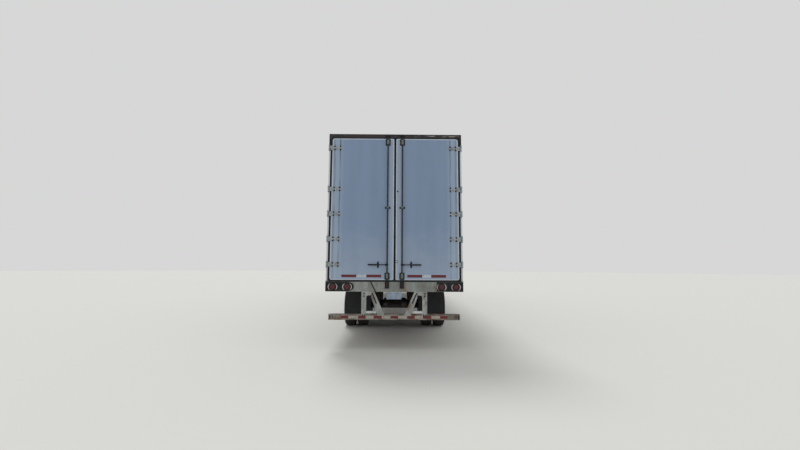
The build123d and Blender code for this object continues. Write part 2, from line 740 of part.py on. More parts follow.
# Slider frame: side members with the mud flap bars, cross tubes, and a pair of cheeks with a pivot bolt
# ahead of each axle
slider_half = slider_width / 2
member_face = outline(
    [
        (arm_y - slider_half, slider_low_z),
        (arm_y + slider_half, slider_low_z),
        (arm_y + slider_half, body_rail_low_z),
        (arm_y - slider_half, body_rail_low_z),
    ]
)
slider = Part() + both_sides(along_x(member_face, *slider_ends)) + both_sides(flap_hanger)
tube_xs = (slider_ends[0] + slider_tube, sum(slider_ends) / 2, slider_ends[1] - slider_tube)
tube_low_z = slider_low_z + slider_tube_rise
tube_ys = (slider_half - arm_y, arm_y - slider_half)
for tube_x in tube_xs:
    tube_from = tube_x - slider_tube / 2
    slider += block(tube_from, tube_from + slider_tube, *tube_ys, tube_low_z, tube_low_z + slider_tube)
cheek_inner = arm_width / 2 + cheek_gap
cheek_outer = cheek_inner + cheek_thick
for axle_x in axle_xs:
    pivot_x = axle_x + pivot_ahead
    cheek_face = outline(
        [
            (pivot_x - hanger_half_top, slider_low_z),
            (pivot_x + hanger_half_top, slider_low_z),
            (pivot_x + hanger_half_foot, hanger_foot_z),
            (pivot_x - hanger_half_foot, hanger_foot_z),
        ]
    )
    hanger = along_y(cheek_face, arm_y - cheek_outer, arm_y - cheek_inner)
    hanger += along_y(cheek_face, arm_y + cheek_inner, arm_y + cheek_outer)
    hanger_ys = (arm_y - cheek_outer, arm_y + cheek_outer)
    hanger_xs = (pivot_x - hanger_half_top, pivot_x + hanger_half_top)
    hanger += rod_along_y(pivot_radius, pivot_x, pivot_z, *hanger_ys)
    hanger += block(*hanger_xs, *hanger_ys, slider_low_z - cheek_thick, slider_low_z)
    slider += both_sides(hanger)
save("slider_frame", [slider])

# Trailing arms: eye on the pivot bolt, seat round the axle, tail under the air spring
arms = []
for axle_x in axle_xs:
    pivot_x = axle_x + pivot_ahead
    tail_x = axle_x - spring_behind - spring_radius
    arm_face = outline(
        [
            (pivot_x, pivot_z + arm_eye_radius),
            (axle_x + arm_seat_half, axle_z + arm_seat_rise),
            (tail_x, spring_seat_z),
            (tail_x, spring_seat_z - arm_tail_thick),
            (axle_x - arm_seat_half, axle_z - arm_seat_drop),
            (axle_x + arm_seat_half, axle_z - arm_seat_drop),
            (pivot_x, pivot_z - arm_eye_radius),
        ]
    )
    arm_face += Pos(pivot_x, pivot_z) * round_bar(arm_eye_radius, shaft_flat_count)
    arm_face -= Pos(pivot_x, pivot_z) * round_bar(pivot_radius + seat_gap, shaft_flat_count)
    arm_face -= Pos(axle_x, axle_z) * round_bar(axle_radius + seat_gap, shaft_flat_count)
    arms += both_sides(along_y(arm_face, arm_y - arm_width / 2, arm_y + arm_width / 2))
save("trailing_arms", arms)

# Air springs between the tails of the arms and the slider
spring = along_z(Pos(0, arm_y) * round_bar(spring_radius, drum_flat_count), spring_seat_z, slider_low_z)
save("air_springs", [s for x in axle_xs for s in both_sides(Pos(x - spring_behind, 0, 0) * spring)])

# Axles: a tube with a spindle in each hub and two brake chambers on brackets
axles = []
for axle_x in axle_xs:
    tube_end = wheel_back_y - seat_gap
    axle = rod_along_y(axle_radius, axle_x, axle_z, -tube_end, tube_end)
    spindle_end = tube_end + spindle_length
    axle += rod_along_y(spindle_radius, axle_x, axle_z, -spindle_end, spindle_end)
    bracket_x = axle_x - chamber_behind
    bracket_ys = (chamber_y - bracket_half_width, chamber_y + bracket_half_width)
    bracket_zs = (axle_z - bracket_drop, chamber_z + bracket_rise)
    bracket = block(bracket_x, axle_x - bracket_front, *bracket_ys, *bracket_zs)
    chamber_face = Pos(chamber_y, chamber_z) * round_bar(chamber_radius, drum_flat_count)
    chamber = bracket + along_x(chamber_face, bracket_x - chamber_length, bracket_x)
    axles.append(axle + both_sides(chamber))
save("axles", axles)

# Wheels: two rims back to back as one turned piece, with the deep dish, disc and hub of the outer one
bore_radius = spindle_radius + seat_gap
bore_end = spindle_length - rim_reach
rim_outside = (rim_radius - seat_gap) * cos(pi / wheel_flat_count)
wheel_section = [
    (-rim_reach, bore_radius),
    (-rim_reach, rim_outside),
    (rim_reach, rim_outside),
    (rim_reach, rim_well_radius),
    (disc_face + disc_bell_reach, rim_well_radius),
    (disc_face, disc_bell_radius),
    (disc_face, bore_radius),
]
wheel = turned_in_flats(wheel_section, wheel_flat_count)
wheel += along_y(round_hole(bore_radius, wheel_flat_count), bore_end, disc_face)
wheel += along_y(round_bar(hub_flange_radius, hub_flat_count), disc_face, hub_flange_reach)
wheel += along_y(round_bar(hub_radius, hub_flat_count), disc_face, hub_reach)

# Tyres: round in many flats, with slanted shoulders and sidewalls that bulge between bead and tread
tyre_section = [
    (-bead_width / 2, rim_radius),
    (-tyre_width / 2, tyre_bulge_radius),
    (-tread_width / 2, tyre_radius),
    (tread_width / 2, tyre_radius),
    (tyre_width / 2, tyre_bulge_radius),
    (bead_width / 2, rim_radius),
]
tyre = turned_in_flats(tyre_section, tyre_flat_count)
tyre_pair = [Pos(0, side * dual_spacing / 2, 0) * tyre for side in (-1, 1)]

for axle_name, axle_x in zip(("rear", "front"), axle_xs):
    place = Pos(axle_x, dual_centre_y, axle_z)
    left_wheel = place * wheel
    left_tyres = [place * t for t in tyre_pair]
    save(f"wheels_{axle_name}_left", [left_wheel])
    save(f"wheels_{axle_name}_right", [other_side(left_wheel)])
    save(f"tyres_{axle_name}_left", left_tyres)
    save(f"tyres_{axle_name}_right", [other_side(t) for t in left_tyres])

# Air tank under the crossmembers
tank_z = beam_bottom_z - tank_gap - tank_radius
tank = rod_along_y(tank_radius, tank_x, tank_z, -tank_length / 2, tank_length / 2, drum_flat_count)
saddle_half = tank_saddle_width / 2
saddle_xs = (tank_x - tank_saddle_half_length, tank_x + tank_saddle_half_length)
for y in (-tank_saddle_y, tank_saddle_y):
    tank += block(*saddle_xs, y - saddle_half, y + saddle_half, tank_z + tank_saddle_low, beam_bottom_z)
save("air_tank", [tank])

# Landing gear: outer legs, inner legs on sand shoes, braces with the cross shaft, and the crank
half_leg = leg_size / 2
inner_half = half_leg - leg_wall
leg_face = Rectangle(leg_size, leg_size) - Rectangle(2 * inner_half, 2 * inner_half)
leg = along_z(Pos(gear_x, leg_y) * leg_face, leg_bottom_z, beam_bottom_z)
gearbox_x, gearbox_y, gearbox_z = gearbox_size
gearbox_low_z = cross_shaft_z - gearbox_z / 2
gearbox_out_y = leg_y + half_leg + gearbox_y
gearbox_xs = (gear_x - gearbox_x / 2, gear_x + gearbox_x / 2)
gearbox = block(*gearbox_xs, leg_y + half_leg, gearbox_out_y, gearbox_low_z, gearbox_low_z + gearbox_z)
save("landing_gear_legs", [leg + gearbox, other_side(leg)])

inner_size = 2 * (inner_half - seat_gap)
inner_leg_face = Pos(gear_x, leg_y) * Rectangle(inner_size, inner_size)
inner_leg = along_z(inner_leg_face, inner_leg_bottom_z, inner_leg_top_z)
shoe_points = [
    (gear_x - shoe_flat / 2, 0),
    (gear_x + shoe_flat / 2, 0),
    (gear_x + shoe_length / 2, shoe_rise),
    (gear_x + shoe_length / 2 - shoe_thick, shoe_rise + shoe_thick / 2),
    (gear_x + shoe_flat / 2 - shoe_thick / 2, shoe_thick),
    (gear_x - shoe_flat / 2 + shoe_thick / 2, shoe_thick),
    (gear_x - shoe_length / 2 + shoe_thick, shoe_rise + shoe_thick / 2),
    (gear_x - shoe_length / 2, shoe_rise),
]
inner_leg += along_y(outline(shoe_points), leg_y - shoe_half_width, leg_y + shoe_half_width)
ankle = inner_size / 4
ankle_ys = (leg_y - inner_size / 2, leg_y + inner_size / 2)
inner_leg += block(gear_x - ankle, gear_x + ankle, *ankle_ys, shoe_thick, inner_leg_bottom_z)
save("landing_gear_feet", both_sides(inner_leg))

side_brace_points = [
    (leg_y - half_leg, brace_low_z),
    (leg_y - half_leg, brace_low_z + brace_width),
    (side_brace_in_y + brace_width, beam_bottom_z),
    (side_brace_in_y, beam_bottom_z),
]
side_brace = along_x(outline(side_brace_points), gear_x - brace_thick / 2, gear_x + brace_thick / 2)
long_brace_points = [
    (gear_x - half_leg, brace_low_z),
    (gear_x - half_leg, brace_low_z + brace_width),
    (gear_x - long_brace_behind + brace_width, beam_bottom_z),
    (gear_x - long_brace_behind, beam_bottom_z),
]
long_brace = along_y(outline(long_brace_points), leg_y - brace_thick / 2, leg_y + brace_thick / 2)
shaft_end = leg_y - half_leg
cross_shaft = rod_along_y(cross_shaft_radius, gear_x + half_leg / 2, cross_shaft_z, -shaft_end, shaft_end)
save("landing_gear_braces", [*both_sides(side_brace), *both_sides(long_brace), cross_shaft])

crank_end_y = gearbox_out_y + crank_reach
crank_z = cross_shaft_z
crank = rod_along_y(crank_radius, gear_x, crank_z, gearbox_out_y, crank_end_y, crank_flat_count)
crank_face = Pos(crank_end_y - crank_radius, crank_z) * round_bar(crank_radius, crank_flat_count)
crank += along_x(crank_face, gear_x - crank_arm, gear_x)
grip_x = gear_x - crank_arm + crank_radius
grip_ys = (crank_end_y - crank_grip, crank_end_y - crank_radius)
crank += rod_along_y(crank_radius, grip_x, crank_z, *grip_ys, crank_flat_count)
save("landing_gear_crank", [crank])

# Connectors on the nose: two hose couplings and one cable socket on a plate
plate_deep, plate_wide, plate_tall = connector_plate
nose_face_x = length - wall_inset
connector_face = Pos(0, connector_z) * Rectangle(plate_wide, plate_tall)
connectors = along_x(connector_face, nose_face_x, nose_face_x + plate_deep)
socket_face = Pos(0, connector_z) * round_bar(socket_radius, drum_flat_count)
connectors += along_x(socket_face, nose_face_x, length + nose_reach)
for y in (-gladhand_y, gladhand_y):
    gladhand_face = Pos(y, connector_z) * round_bar(gladhand_radius, shaft_flat_count)
    connectors += along_x(gladhand_face, nose_face_x, length + gladhand_reach)
save("nose_connectors", [connectors])


# Doors: each has a panel, a rubber seal round it, its hardware, a lock rod and a handle
def door_face(inner_y, grow):
    outer_y = door_outer_y + grow
    low_z = door_bottom_z - grow
    top_z = door_top_z + grow
    face = Pos((inner_y + outer_y) / 2, (low_z + top_z) / 2) * Rectangle(outer_y - inner_y, top_z - low_z)
    return fillet(face.vertices().group_by(Axis.X)[-1], door_corner_radius + grow)


panel_face = door_face(door_inner_y, 0)
panel = along_x(panel_face, door_face_x, door_back_x)
seal_face = door_face(seam_half, seal_width) - panel_face
seal = along_x(seal_face, door_face_x + seal_setback, door_back_x + seal_setback)

strap_x = door_face_x - strap_thick
neck_y = hinge_y - strap_neck
barrel = Pos(hinge_x, hinge_y) * round_bar(hinge_barrel_radius, hinge_flat_count)
neck_root = Line((strap_x, neck_y), (door_face_x, neck_y))
strap_face = make_hull([*barrel.edges(), *neck_root.edges()])
strap_face += Pos((door_face_x + strap_x) / 2, (strap_end_y + neck_y) / 2) * Rectangle(
    strap_thick, neck_y - strap_end_y
)
strap_face -= Pos(hinge_x, hinge_y) * round_hole(hinge_pin_radius + seat_gap, hinge_flat_count)
strap = along_z(strap_face, -strap_height / 2, strap_height / 2)
waist_y = (strap_end_y + door_outer_y) / 2
for edge in (-1, 1):
    waist = outline(
        [
            (waist_y - waist_half, edge * strap_height / 2),
            (waist_y + waist_half, edge * strap_height / 2),
            (waist_y + waist_half - strap_waist, edge * (strap_height / 2 - strap_waist)),
            (waist_y - waist_half + strap_waist, edge * (strap_height / 2 - strap_waist)),
        ]
    )
    strap -= along_x(waist, strap_x, door_face_x)

guide_plate_x = door_face_x - guide_plate_thick


def rod_guide(plate_low, plate_top, saddle_low, saddle_top):
    bore = Pos(rod_x, rod_y) * round_hole(rod_radius + seat_gap, shaft_flat_count)
    saddle = Pos(rod_x, rod_y) * round_bar(guide_radius, shaft_flat_count)
    saddle += Pos((rod_x + door_face_x) / 2, rod_y) * Rectangle(door_face_x - rod_x, 2 * guide_radius)
    plate_face = Pos(rod_y, (plate_low + plate_top) / 2) * Rectangle(guide_width, plate_top - plate_low)
    corner = min(guide_corner, (plate_top - plate_low) / 3)
    plate_face = chamfer(plate_face.vertices(), corner)
    return along_x(plate_face, guide_plate_x, door_face_x) + along_z(saddle - bore, saddle_low, saddle_top)


# Each row: plate low z, plate top z, saddle low z, saddle top z
plate_far, plate_near, saddle_far, saddle_near = end_guide
plate_half, saddle_half_height = middle_guide
guide_rows = [
    (
        door_bottom_z + plate_near,
        door_bottom_z + plate_far,
        door_bottom_z + saddle_near,
        door_bottom_z + saddle_far,
    ),
    (
        middle_guide_z - plate_half,
        middle_guide_z + plate_half,
        middle_guide_z - saddle_half_height,
        middle_guide_z + saddle_half_height,
    ),
    (door_top_z - plate_far, door_top_z - plate_near, door_top_z - saddle_far, door_top_z - saddle_near),
]
guides = [rod_guide(*row) for row in guide_rows]
retainer_turns = [2 * pi * i / hinge_flat_count for i in range(hinge_flat_count)]
retainer_points = [
    (retainer_y + retainer_width / 2 * cos(turn), handle_z + retainer_height / 2 * sin(turn))
    for turn in retainer_turns
]
retainer = along_x(outline(retainer_points), door_face_x - retainer_thick, door_face_x)
hardware = [Pos(0, 0, z) * strap for z in hinge_zs] + guides + [retainer]

rod = along_z(Pos(rod_x, rod_y) * round_bar(rod_radius, shaft_flat_count), rod_bottom_z, rod_top_z)
for low, top in cam_spans:
    rod += block(rod_x, rod_x + cam_reach, rod_y - cam_half_width, rod_y + cam_half_width, low, top)

half_handle = handle_height / 2
handle_x = rod_x - handle_thick / 2
clamp = rod_radius + handle_clamp
half_clamp = half_handle + handle_clamp
clamp_face = Rectangle(2 * clamp, 2 * clamp) - round_bar(rod_radius + seat_gap, shaft_flat_count)
handle = along_z(Pos(rod_x, rod_y) * clamp_face, handle_z - half_clamp, handle_z + half_clamp)
handle_zs = (handle_z - half_handle, handle_z + half_handle)
handle += block(handle_x, handle_x + handle_thick, rod_y + clamp, handle_end_y, *handle_zs)

for side_name, turn in (("left", None), ("right", other_side)):
    pieces = {
        "door_panel": [panel],
        "door_seal": [seal],
        "door_hardware": hardware,
        "lock_rod": [rod],
        "lock_handle": [handle],
    }
    for piece_name, shapes in pieces.items():
        save(f"{piece_name}_{side_name}", [turn(s) for s in shapes] if turn else shapes)
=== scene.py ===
# A 53 ft box semi trailer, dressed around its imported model. Metres, +X to the nose, +Y to its left, +Z up.
import bpy
import bmesh
import math
from mathutils import Matrix, Vector


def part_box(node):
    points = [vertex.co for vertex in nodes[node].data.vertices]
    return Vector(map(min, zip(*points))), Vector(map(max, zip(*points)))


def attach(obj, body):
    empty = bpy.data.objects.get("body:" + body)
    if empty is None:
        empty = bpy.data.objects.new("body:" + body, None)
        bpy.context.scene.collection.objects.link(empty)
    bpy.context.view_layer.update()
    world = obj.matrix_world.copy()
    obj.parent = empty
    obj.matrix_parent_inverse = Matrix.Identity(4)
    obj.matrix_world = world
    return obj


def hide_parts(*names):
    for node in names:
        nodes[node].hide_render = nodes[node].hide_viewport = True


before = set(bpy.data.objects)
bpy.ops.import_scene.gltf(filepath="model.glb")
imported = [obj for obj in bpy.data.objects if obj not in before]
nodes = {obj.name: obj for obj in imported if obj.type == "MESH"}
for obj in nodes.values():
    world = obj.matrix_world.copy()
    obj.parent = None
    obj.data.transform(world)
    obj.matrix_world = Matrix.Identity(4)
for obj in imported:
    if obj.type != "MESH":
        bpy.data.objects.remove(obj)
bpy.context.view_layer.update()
print("Frame loaded:", len(nodes), "nodes")

# Places that many pieces share, read from the frame or measured on the photograph
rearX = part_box("rear_sill")[0].x
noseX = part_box("front_beams")[1].x
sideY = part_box("bottom_rails")[1].y
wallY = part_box("side_walls")[1].y
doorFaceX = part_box("door_panel_left")[0].x
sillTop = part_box("rear_sill")[1].z
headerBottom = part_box("rear_header")[0].z
hingeHeights = (1.574, 2.054, 2.538, 3.018, 3.832)
boltLines, boltRise = (1.068, 1.174), 0.029
rodX, rodY = rearX - 0.035, 0.140
pinX, pinY = rearX - 0.025, 1.283
handleZ, retainerY = 1.570, 0.314
linerY, beamHalf = wallY - 0.014, 0.0285
axlePitch, axleBehind, armY, pivotZ = 1.245, 0.480, 0.470, 0.600
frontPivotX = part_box("trailing_arms")[1].x - 0.055
pivots = (frontPivotX - axlePitch, frontPivotX)
sides = (("left", 1), ("right", -1))


# Adds a shader node to a material; an input takes a plain value or the socket that feeds it
def addNode(tree, kind, inputs=None, **settings):
    node = tree.nodes.new("ShaderNode" + kind)
    for key, value in settings.items():
        setattr(node, key, value)
    for key, value in (inputs or {}).items():
        if isinstance(value, bpy.types.NodeSocket):
            tree.links.new(value, node.inputs[key])
        else:
            node.inputs[key].default_value = value
    return node


def colour(hexText):
    parts = [int(hexText[i:i + 2], 16) / 255 for i in (1, 3, 5)]
    linear = [c / 12.92 if c <= 0.04045 else ((c + 0.055) / 1.055) ** 2.4 for c in parts]
    return (*linear, 1.0)


# A material's tree, its shader, and the socket of places on the object
def opened(material):
    tree = material.node_tree
    return tree, tree.nodes["Principled BSDF"], addNode(tree, "TexCoord").outputs["Object"]


def newFinish(name, **surface):
    material = bpy.data.materials.new(name)
    material.use_nodes = True
    tree, shader, where = opened(material)
    for key, value in surface.items():
        shader.inputs[key.replace("_", " ")].default_value = value
    return material, tree, shader, where


# Patches of another colour where a noise rises over a level
def patches(tree, where, base, over, scale, level, soft=0.08, stretch=(1, 1, 1), most=1.0):
    placed = addNode(tree, "Mapping", {"Vector": where, "Scale": stretch})
    noise = addNode(tree, "TexNoise", {"Vector": placed.outputs[0], "Scale": scale, "Detail": 5.0})
    mask = addNode(tree, "MapRange", {"Value": noise.outputs[0], "From Min": level - soft,
                                      "From Max": level + soft, "To Max": most}).outputs[0]
    return addNode(tree, "MixRGB", {"Fac": mask, "Color1": base, "Color2": over}).outputs[0]


# Dust or splash that is thickest low down and gone above a height, broken up by a noise
def splash(tree, where, base, over, lowZ, highZ, most=0.8):
    height = addNode(tree, "SeparateXYZ", {"Vector": where}).outputs["Z"]
    noise = addNode(tree, "TexNoise", {"Vector": where, "Scale": 3.0, "Detail": 6.0}).outputs[0]
    ragged = addNode(tree, "Math", {0: noise, 1: lowZ - highZ, 2: height}, operation="MULTIPLY_ADD").outputs[0]
    fullZ, clearZ = 1.5 * lowZ - 0.5 * highZ, highZ - 0.2 * (highZ - lowZ)
    mask = addNode(tree, "MapRange", {"Value": ragged, "From Min": fullZ, "From Max": clearZ, "To Min": most,
                                      "To Max": 0.0}).outputs[0]
    return addNode(tree, "MixRGB", {"Fac": mask, "Color1": base, "Color2": over}).outputs[0]


def relief(tree, shader, height, depth, strength=1.0):
    bump = addNode(tree, "Bump", {"Height": height, "Distance": depth, "Strength": strength})
    tree.links.new(bump.outputs[0], shader.inputs["Normal"])


# Mask of a band: one value within a near distance of its centre, another past a far one
def bandMask(tree, value, centre, near, far, inside=1.0, outside=0.0):
    off = addNode(tree, "Math", {0: value, 1: -centre}, operation="ADD").outputs[0]
    off = addNode(tree, "Math", {0: off}, operation="ABSOLUTE").outputs[0]
    return addNode(
        tree, "MapRange", {"Value": off, "From Min": near, "From Max": far, "To Min": inside, "To Max": outside}
    ).outputs[0]


# A finish in layers: the look's first tone, patches of its others, dust from below, and a fine grain
def layered(name, look, layers=(), dust=None, grain=None, **surface):
    material, tree, shader, where = newFinish(name, **surface)
    base = colour(list(look.values())[0])
    for tone, *spread in layers:
        base = patches(tree, where, base, colour(look[tone]), *spread)
    if dust:
        tone, *reach = dust
        base = splash(tree, where, base, colour(look[tone]), *reach)
    tree.links.new(base, shader.inputs["Base Color"])
    if grain:
        scale, detail, depth, strength = grain
        noise = addNode(tree, "TexNoise", {"Vector": where, "Scale": scale, "Detail": detail})
        relief(tree, shader, noise.outputs[0], depth, strength)
    return material


# Prefinished white sheet: baked paint, smooth and half gloss, with road film low down and faint rain lines
def whitePanel():
    # The white is painted a cool grey, partly carrying over the doors' painted sky shade
    look = {"white": "#C6CDD6", "rain": "#B2B7BC", "film": "#A09C93"}
    rain = ("rain", 3.2, 0.56, 0.14, (1, 1, 0.12), 0.6)
    return layered(
        "prefinishedWhite", look, [rain], ("film", 1.15, 2.0, 0.55), (1.6, 1.0, 0.006, 0.35), Roughness=0.36,
        IOR=1.5
    )


# Door skin: white baked paint, painted in a cool sky shade, and paler beside the straps and rods and low down
# as painted light, with broken dark lines running up and down through the hinge bolts
def doorSkin():
    # The first tone is white paint painted in the cool shade of the sky; the paler tones are painted light
    look = {"white": "#788CA8", "rain": "#6D819C", "paintedLight": "#96A7BB", "streakDark": "#3A424C", "film": "#9EACBC"}
    panelMiddle = 0.585
    material, tree, shader, where = newFinish("doorWhite", Roughness=0.34, IOR=1.5)
    base = patches(
        tree, where, colour(look["white"]), colour(look["rain"]), 4.0, 0.55, 0.14, (1, 1, 0.10), 0.55
    )
    place = addNode(tree, "SeparateXYZ", {"Vector": where})
    across = addNode(tree, "Math", {0: place.outputs["Y"]}, operation="ABSOLUTE").outputs[0]
    # Painted light: the door is paler beside the straps and rods
    paintedLight = bandMask(tree, across, panelMiddle, 0.40, 0.50, 0.0, 0.6)
    base = addNode(tree, "MixRGB", {"Fac": paintedLight, "Color1": base, "Color2": colour(look["paintedLight"])}).outputs[0]
    run = addNode(tree, "Mapping", {"Vector": where, "Scale": (1, 60, 1.9)})
    broken = addNode(tree, "TexNoise", {"Vector": run.outputs[0], "Scale": 1.0, "Detail": 4.0}).outputs[0]
    broken = addNode(tree, "MapRange", {"Value": broken, "From Min": 0.36, "From Max": 0.62}).outputs[0]
    # Broken dark lines, up and down through the columns of hinge bolts
    for lineY in boltLines:
        line = bandMask(tree, across, lineY, 0.002, 0.024, 0.75)
        line = addNode(tree, "Math", {0: line, 1: broken}, operation="MULTIPLY").outputs[0]
        base = addNode(tree, "MixRGB", {"Fac": line, "Color1": base, "Color2": colour(look["streakDark"])}).outputs[0]
    # Painted light: the door grows paler towards its bottom
    base = splash(tree, where, base, colour(look["film"]), 1.20, 2.10, 0.55)
    tree.links.new(base, shader.inputs["Base Color"])
    waves = addNode(tree, "TexNoise", {"Vector": where, "Scale": 2.2, "Detail": 1.0})
    relief(tree, shader, waves.outputs[0], 0.004, 0.3)
    return material


# Mill-finish extrusion: bare aluminium with fine drawing lines along its length, dulled by road film
def millAluminium(name, bare, film, metal):
    look = {"bare": bare, "film": film}
    stains = ("film", 5.0, 0.52, 0.2, (0.4, 1, 1), 0.8)
    material = layered(name, look, [stains], ("film", 1.0, 1.6, 0.7), Metallic=metal, Roughness=0.42)
    tree, shader, where = opened(material)
    lines = addNode(tree, "Mapping", {"Vector": where, "Scale": (2, 400, 400)})
    drawn = addNode(tree, "TexNoise", {"Vector": lines.outputs[0], "Scale": 1.0, "Detail": 2.0})
    relief(tree, shader, drawn.outputs[0], 0.0004, 0.4)
    return material


# Hot-dip galvanised steel: flower-like zinc crystals about 12 mm wide, chalky, with grime and rust runs
def galvanised(name, zinc, pale, grime, rust, rustLevel):
    material, tree, shader, where = newFinish(name, Metallic=0.35, Roughness=0.6)
    crystals = addNode(tree, "TexVoronoi", {"Vector": where, "Scale": 80.0})
    shade = addNode(tree, "SeparateColor", {"Color": crystals.outputs["Color"]}).outputs[0]
    base = addNode(tree, "MixRGB", {"Fac": shade, "Color1": colour(zinc), "Color2": colour(pale)}).outputs[0]
    base = patches(tree, where, base, colour(grime), 7.0, 0.5, 0.16, (1, 1, 0.35), 0.75)
    base = patches(tree, where, base, colour(rust), 5.5, rustLevel, 0.06, (1, 1, 0.6), 0.85)
    tree.links.new(base, shader.inputs["Base Color"])
    grain = addNode(tree, "TexNoise", {"Vector": where, "Scale": 260.0, "Detail": 3.0})
    relief(tree, shader, grain.outputs[0], 0.0006, 0.5)
    return material


# The sill's zinc: stained by what runs out of the doors in faint pink and green bands, with one black diagonal
# line
def sillZinc():
    diagonalLine = {"high": (0.450, 1.255), "low": (0.362, 1.080), "half": 0.015, "tone": "#17181A"}
    stains = (("#8A6F6A", 9.0, 0.56, 0.08, (1, 1, 0.06), 0.50),
              ("#667A6F", 11.0, 0.58, 0.08, (1, 1.3, 0.06), 0.45))
    material = galvanised("sillGalvanised", "#868C89", "#9CA19E", "#6A6C67", "#74604F", 0.67)
    tree, shader, where = opened(material)
    base = shader.inputs["Base Color"].links[0].from_socket
    for tone, *spread in stains:
        base = patches(tree, where, base, colour(tone), *spread)
    place = addNode(tree, "SeparateXYZ", {"Vector": where})
    # One black diagonal line across the sill's face
    slope = (diagonalLine["high"][0] - diagonalLine["low"][0]) / (diagonalLine["high"][1] - diagonalLine["low"][1])
    run = addNode(
        tree, "Math", {0: place.outputs["Z"], 1: -slope, 2: place.outputs["Y"]}, operation="MULTIPLY_ADD"
    ).outputs[0]
    foot = diagonalLine["low"][0] - slope * diagonalLine["low"][1]
    mask = bandMask(tree, run, foot, 0.6 * diagonalLine["half"], 1.4 * diagonalLine["half"], 0.9)
    base = addNode(tree, "MixRGB", {"Fac": mask, "Color1": base, "Color2": colour(diagonalLine["tone"])}).outputs[0]
    tree.links.new(base, shader.inputs["Base Color"])
    return material


# Header enamel: black, rubbed through along its length to brown rust, and on the right to pale primer
def headerPaint():
    look = {"black": "#0E1013", "grey": "#181A1D", "rust": "#33241F", "primer": "#8F8880"}
    material, tree, shader, where = newFinish("headerBlack", Roughness=0.5)
    base = patches(tree, where, colour(look["black"]), colour(look["grey"]), 6.0, 0.5, 0.2)
    low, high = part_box("rear_header")
    place = addNode(tree, "SeparateXYZ", {"Vector": where}).outputs
    band = bandMask(tree, place["Z"], (low.z + high.z) / 2 + 0.004, 0.008, 0.020)
    rubbedSide = addNode(
        tree, "MapRange", {"Value": place["Y"], "From Min": -0.25, "From Max": -0.60}
    ).outputs[0]
    rubbedBand = addNode(tree, "Math", {0: band, 1: rubbedSide}, operation="MULTIPLY").outputs[0]
    for tone, scale, level, mask in (("rust", 2.2, 0.50, band), ("primer", 7.0, 0.53, rubbedBand)):
        over = patches(tree, where, base, colour(look[tone]), scale, level, 0.06, (1, 1, 6), 0.9)
        base = addNode(tree, "MixRGB", {"Fac": mask, "Color1": base, "Color2": over}).outputs[0]
    tree.links.new(base, shader.inputs["Base Color"])
    grain = addNode(tree, "TexNoise", {"Vector": where, "Scale": 180.0, "Detail": 3.0})
    relief(tree, shader, grain.outputs[0], 0.0008, 0.4)
    return material


# Black chassis enamel under grey road dust, thickest low down
def chassisPaint():
    look = {"black": "#1C1D1F", "worn": "#303132", "dust": "#5E5A52", "rust": "#4A2F20"}
    layers = [("worn", 6.0, 0.5, 0.2), ("rust", 9.0, 0.66, 0.04)]
    return layered(
        "chassisBlack", look, layers, ("dust", 0.1, 1.0, 0.6), (180.0, 3.0, 0.0008, 0.4), Roughness=0.55
    )


# Forged door gear: zinc coated once, now dark, partly from weathering and partly as painted shade, and blotched
# with rust at its edges
def weatheredSteel(name, dark, pale, rustMost):
    look = {"dark": dark, "pale": pale, "rust": "#5B3A26"}
    layers = [("pale", 22.0, 0.5, 0.15), ("rust", 14.0, 0.58, 0.06, (1, 1, 0.5), rustMost)]
    return layered(name, look, layers, None, (300.0, 2.0, 0.0006, 0.5), Metallic=0.55, Roughness=0.5)


# Laminated oak: sticks 32 mm wide glued side by side, each of its own tone, dry and scuffed
def hardwoodFloor():
    look = {"light": "#A27A4E", "dark": "#7B5632", "glue": "#3F2C1B", "scuff": "#6A5A49"}
    boards = {"Scale": 1.0, "Mortar Size": 0.0012, "Brick Width": 1.1, "Row Height": 0.032}
    material, tree, shader, where = newFinish("laminatedOak", Roughness=0.7)
    tones = {"Color1": colour(look["light"]), "Color2": colour(look["dark"]), "Mortar": colour(look["glue"])}
    sticks = addNode(tree, "TexBrick", {"Vector": where, **tones, **boards}, offset=0.37)
    grain = addNode(tree, "Mapping", {"Vector": where, "Scale": (3, 90, 90)})
    fibres = addNode(tree, "TexNoise", {"Vector": grain.outputs[0], "Scale": 1.0, "Detail": 6.0}).outputs[0]
    base = addNode(tree, "MixRGB", {"Fac": fibres, "Color1": sticks.outputs["Color"],
                                    "Color2": tones["Color2"]}, blend_type="MULTIPLY").outputs[0]
    base = patches(tree, where, base, colour(look["scuff"]), 2.0, 0.56, 0.1, (0.3, 1, 1), 0.6)
    tree.links.new(base, shader.inputs["Base Color"])
    relief(tree, shader, fibres, 0.001, 0.4)
    return material


# Rubber: matt black with a grey bloom of dust
def rubber(name, black, bloom, rough, grainScale, dustTop):
    look = {"black": black, "bloom": bloom}
    dust = ("bloom", 0.0, dustTop, 0.8) if dustTop else None
    return layered(
        name, look, [("bloom", 8.0, 0.55, 0.2, (1, 1, 0.5), 0.7)], dust, (grainScale, 3.0, 0.001, 0.4),
        Roughness=rough, Specular_IOR_Level=0.3,
    )


# White powder-coated disc wheels under brake dust, rust round the nuts and hand holes
def wheelPaint():
    look = {"white": "#C4C5C2", "dust": "#6E675D", "rust": "#6D4830"}
    layers = [("dust", 6.0, 0.5, 0.2), ("rust", 11.0, 0.6, 0.05)]
    return layered(
        "wheelWhite", look, layers, ("dust", 0.1, 0.9, 0.5), (220.0, 2.0, 0.0005, 0.3), Roughness=0.45
    )


# Moulded lens: clear coloured acrylic over 4 mm prisms, so it is deep in tone and glossy
def lens(name, tone, deep, coat=0.6):
    material, tree, shader, where = newFinish(name, Roughness=0.22, IOR=1.49, Coat_Weight=coat)
    prisms = addNode(
        tree, "TexVoronoi", {"Vector": where, "Scale": 240.0}, distance="MANHATTAN"
    ).outputs["Distance"]
    base = addNode(tree, "MixRGB", {"Fac": prisms, "Color1": colour(tone), "Color2": colour(deep)})
    tree.links.new(base.outputs[0], shader.inputs["Base Color"])
    relief(tree, shader, prisms, 0.001, 0.35)
    return material


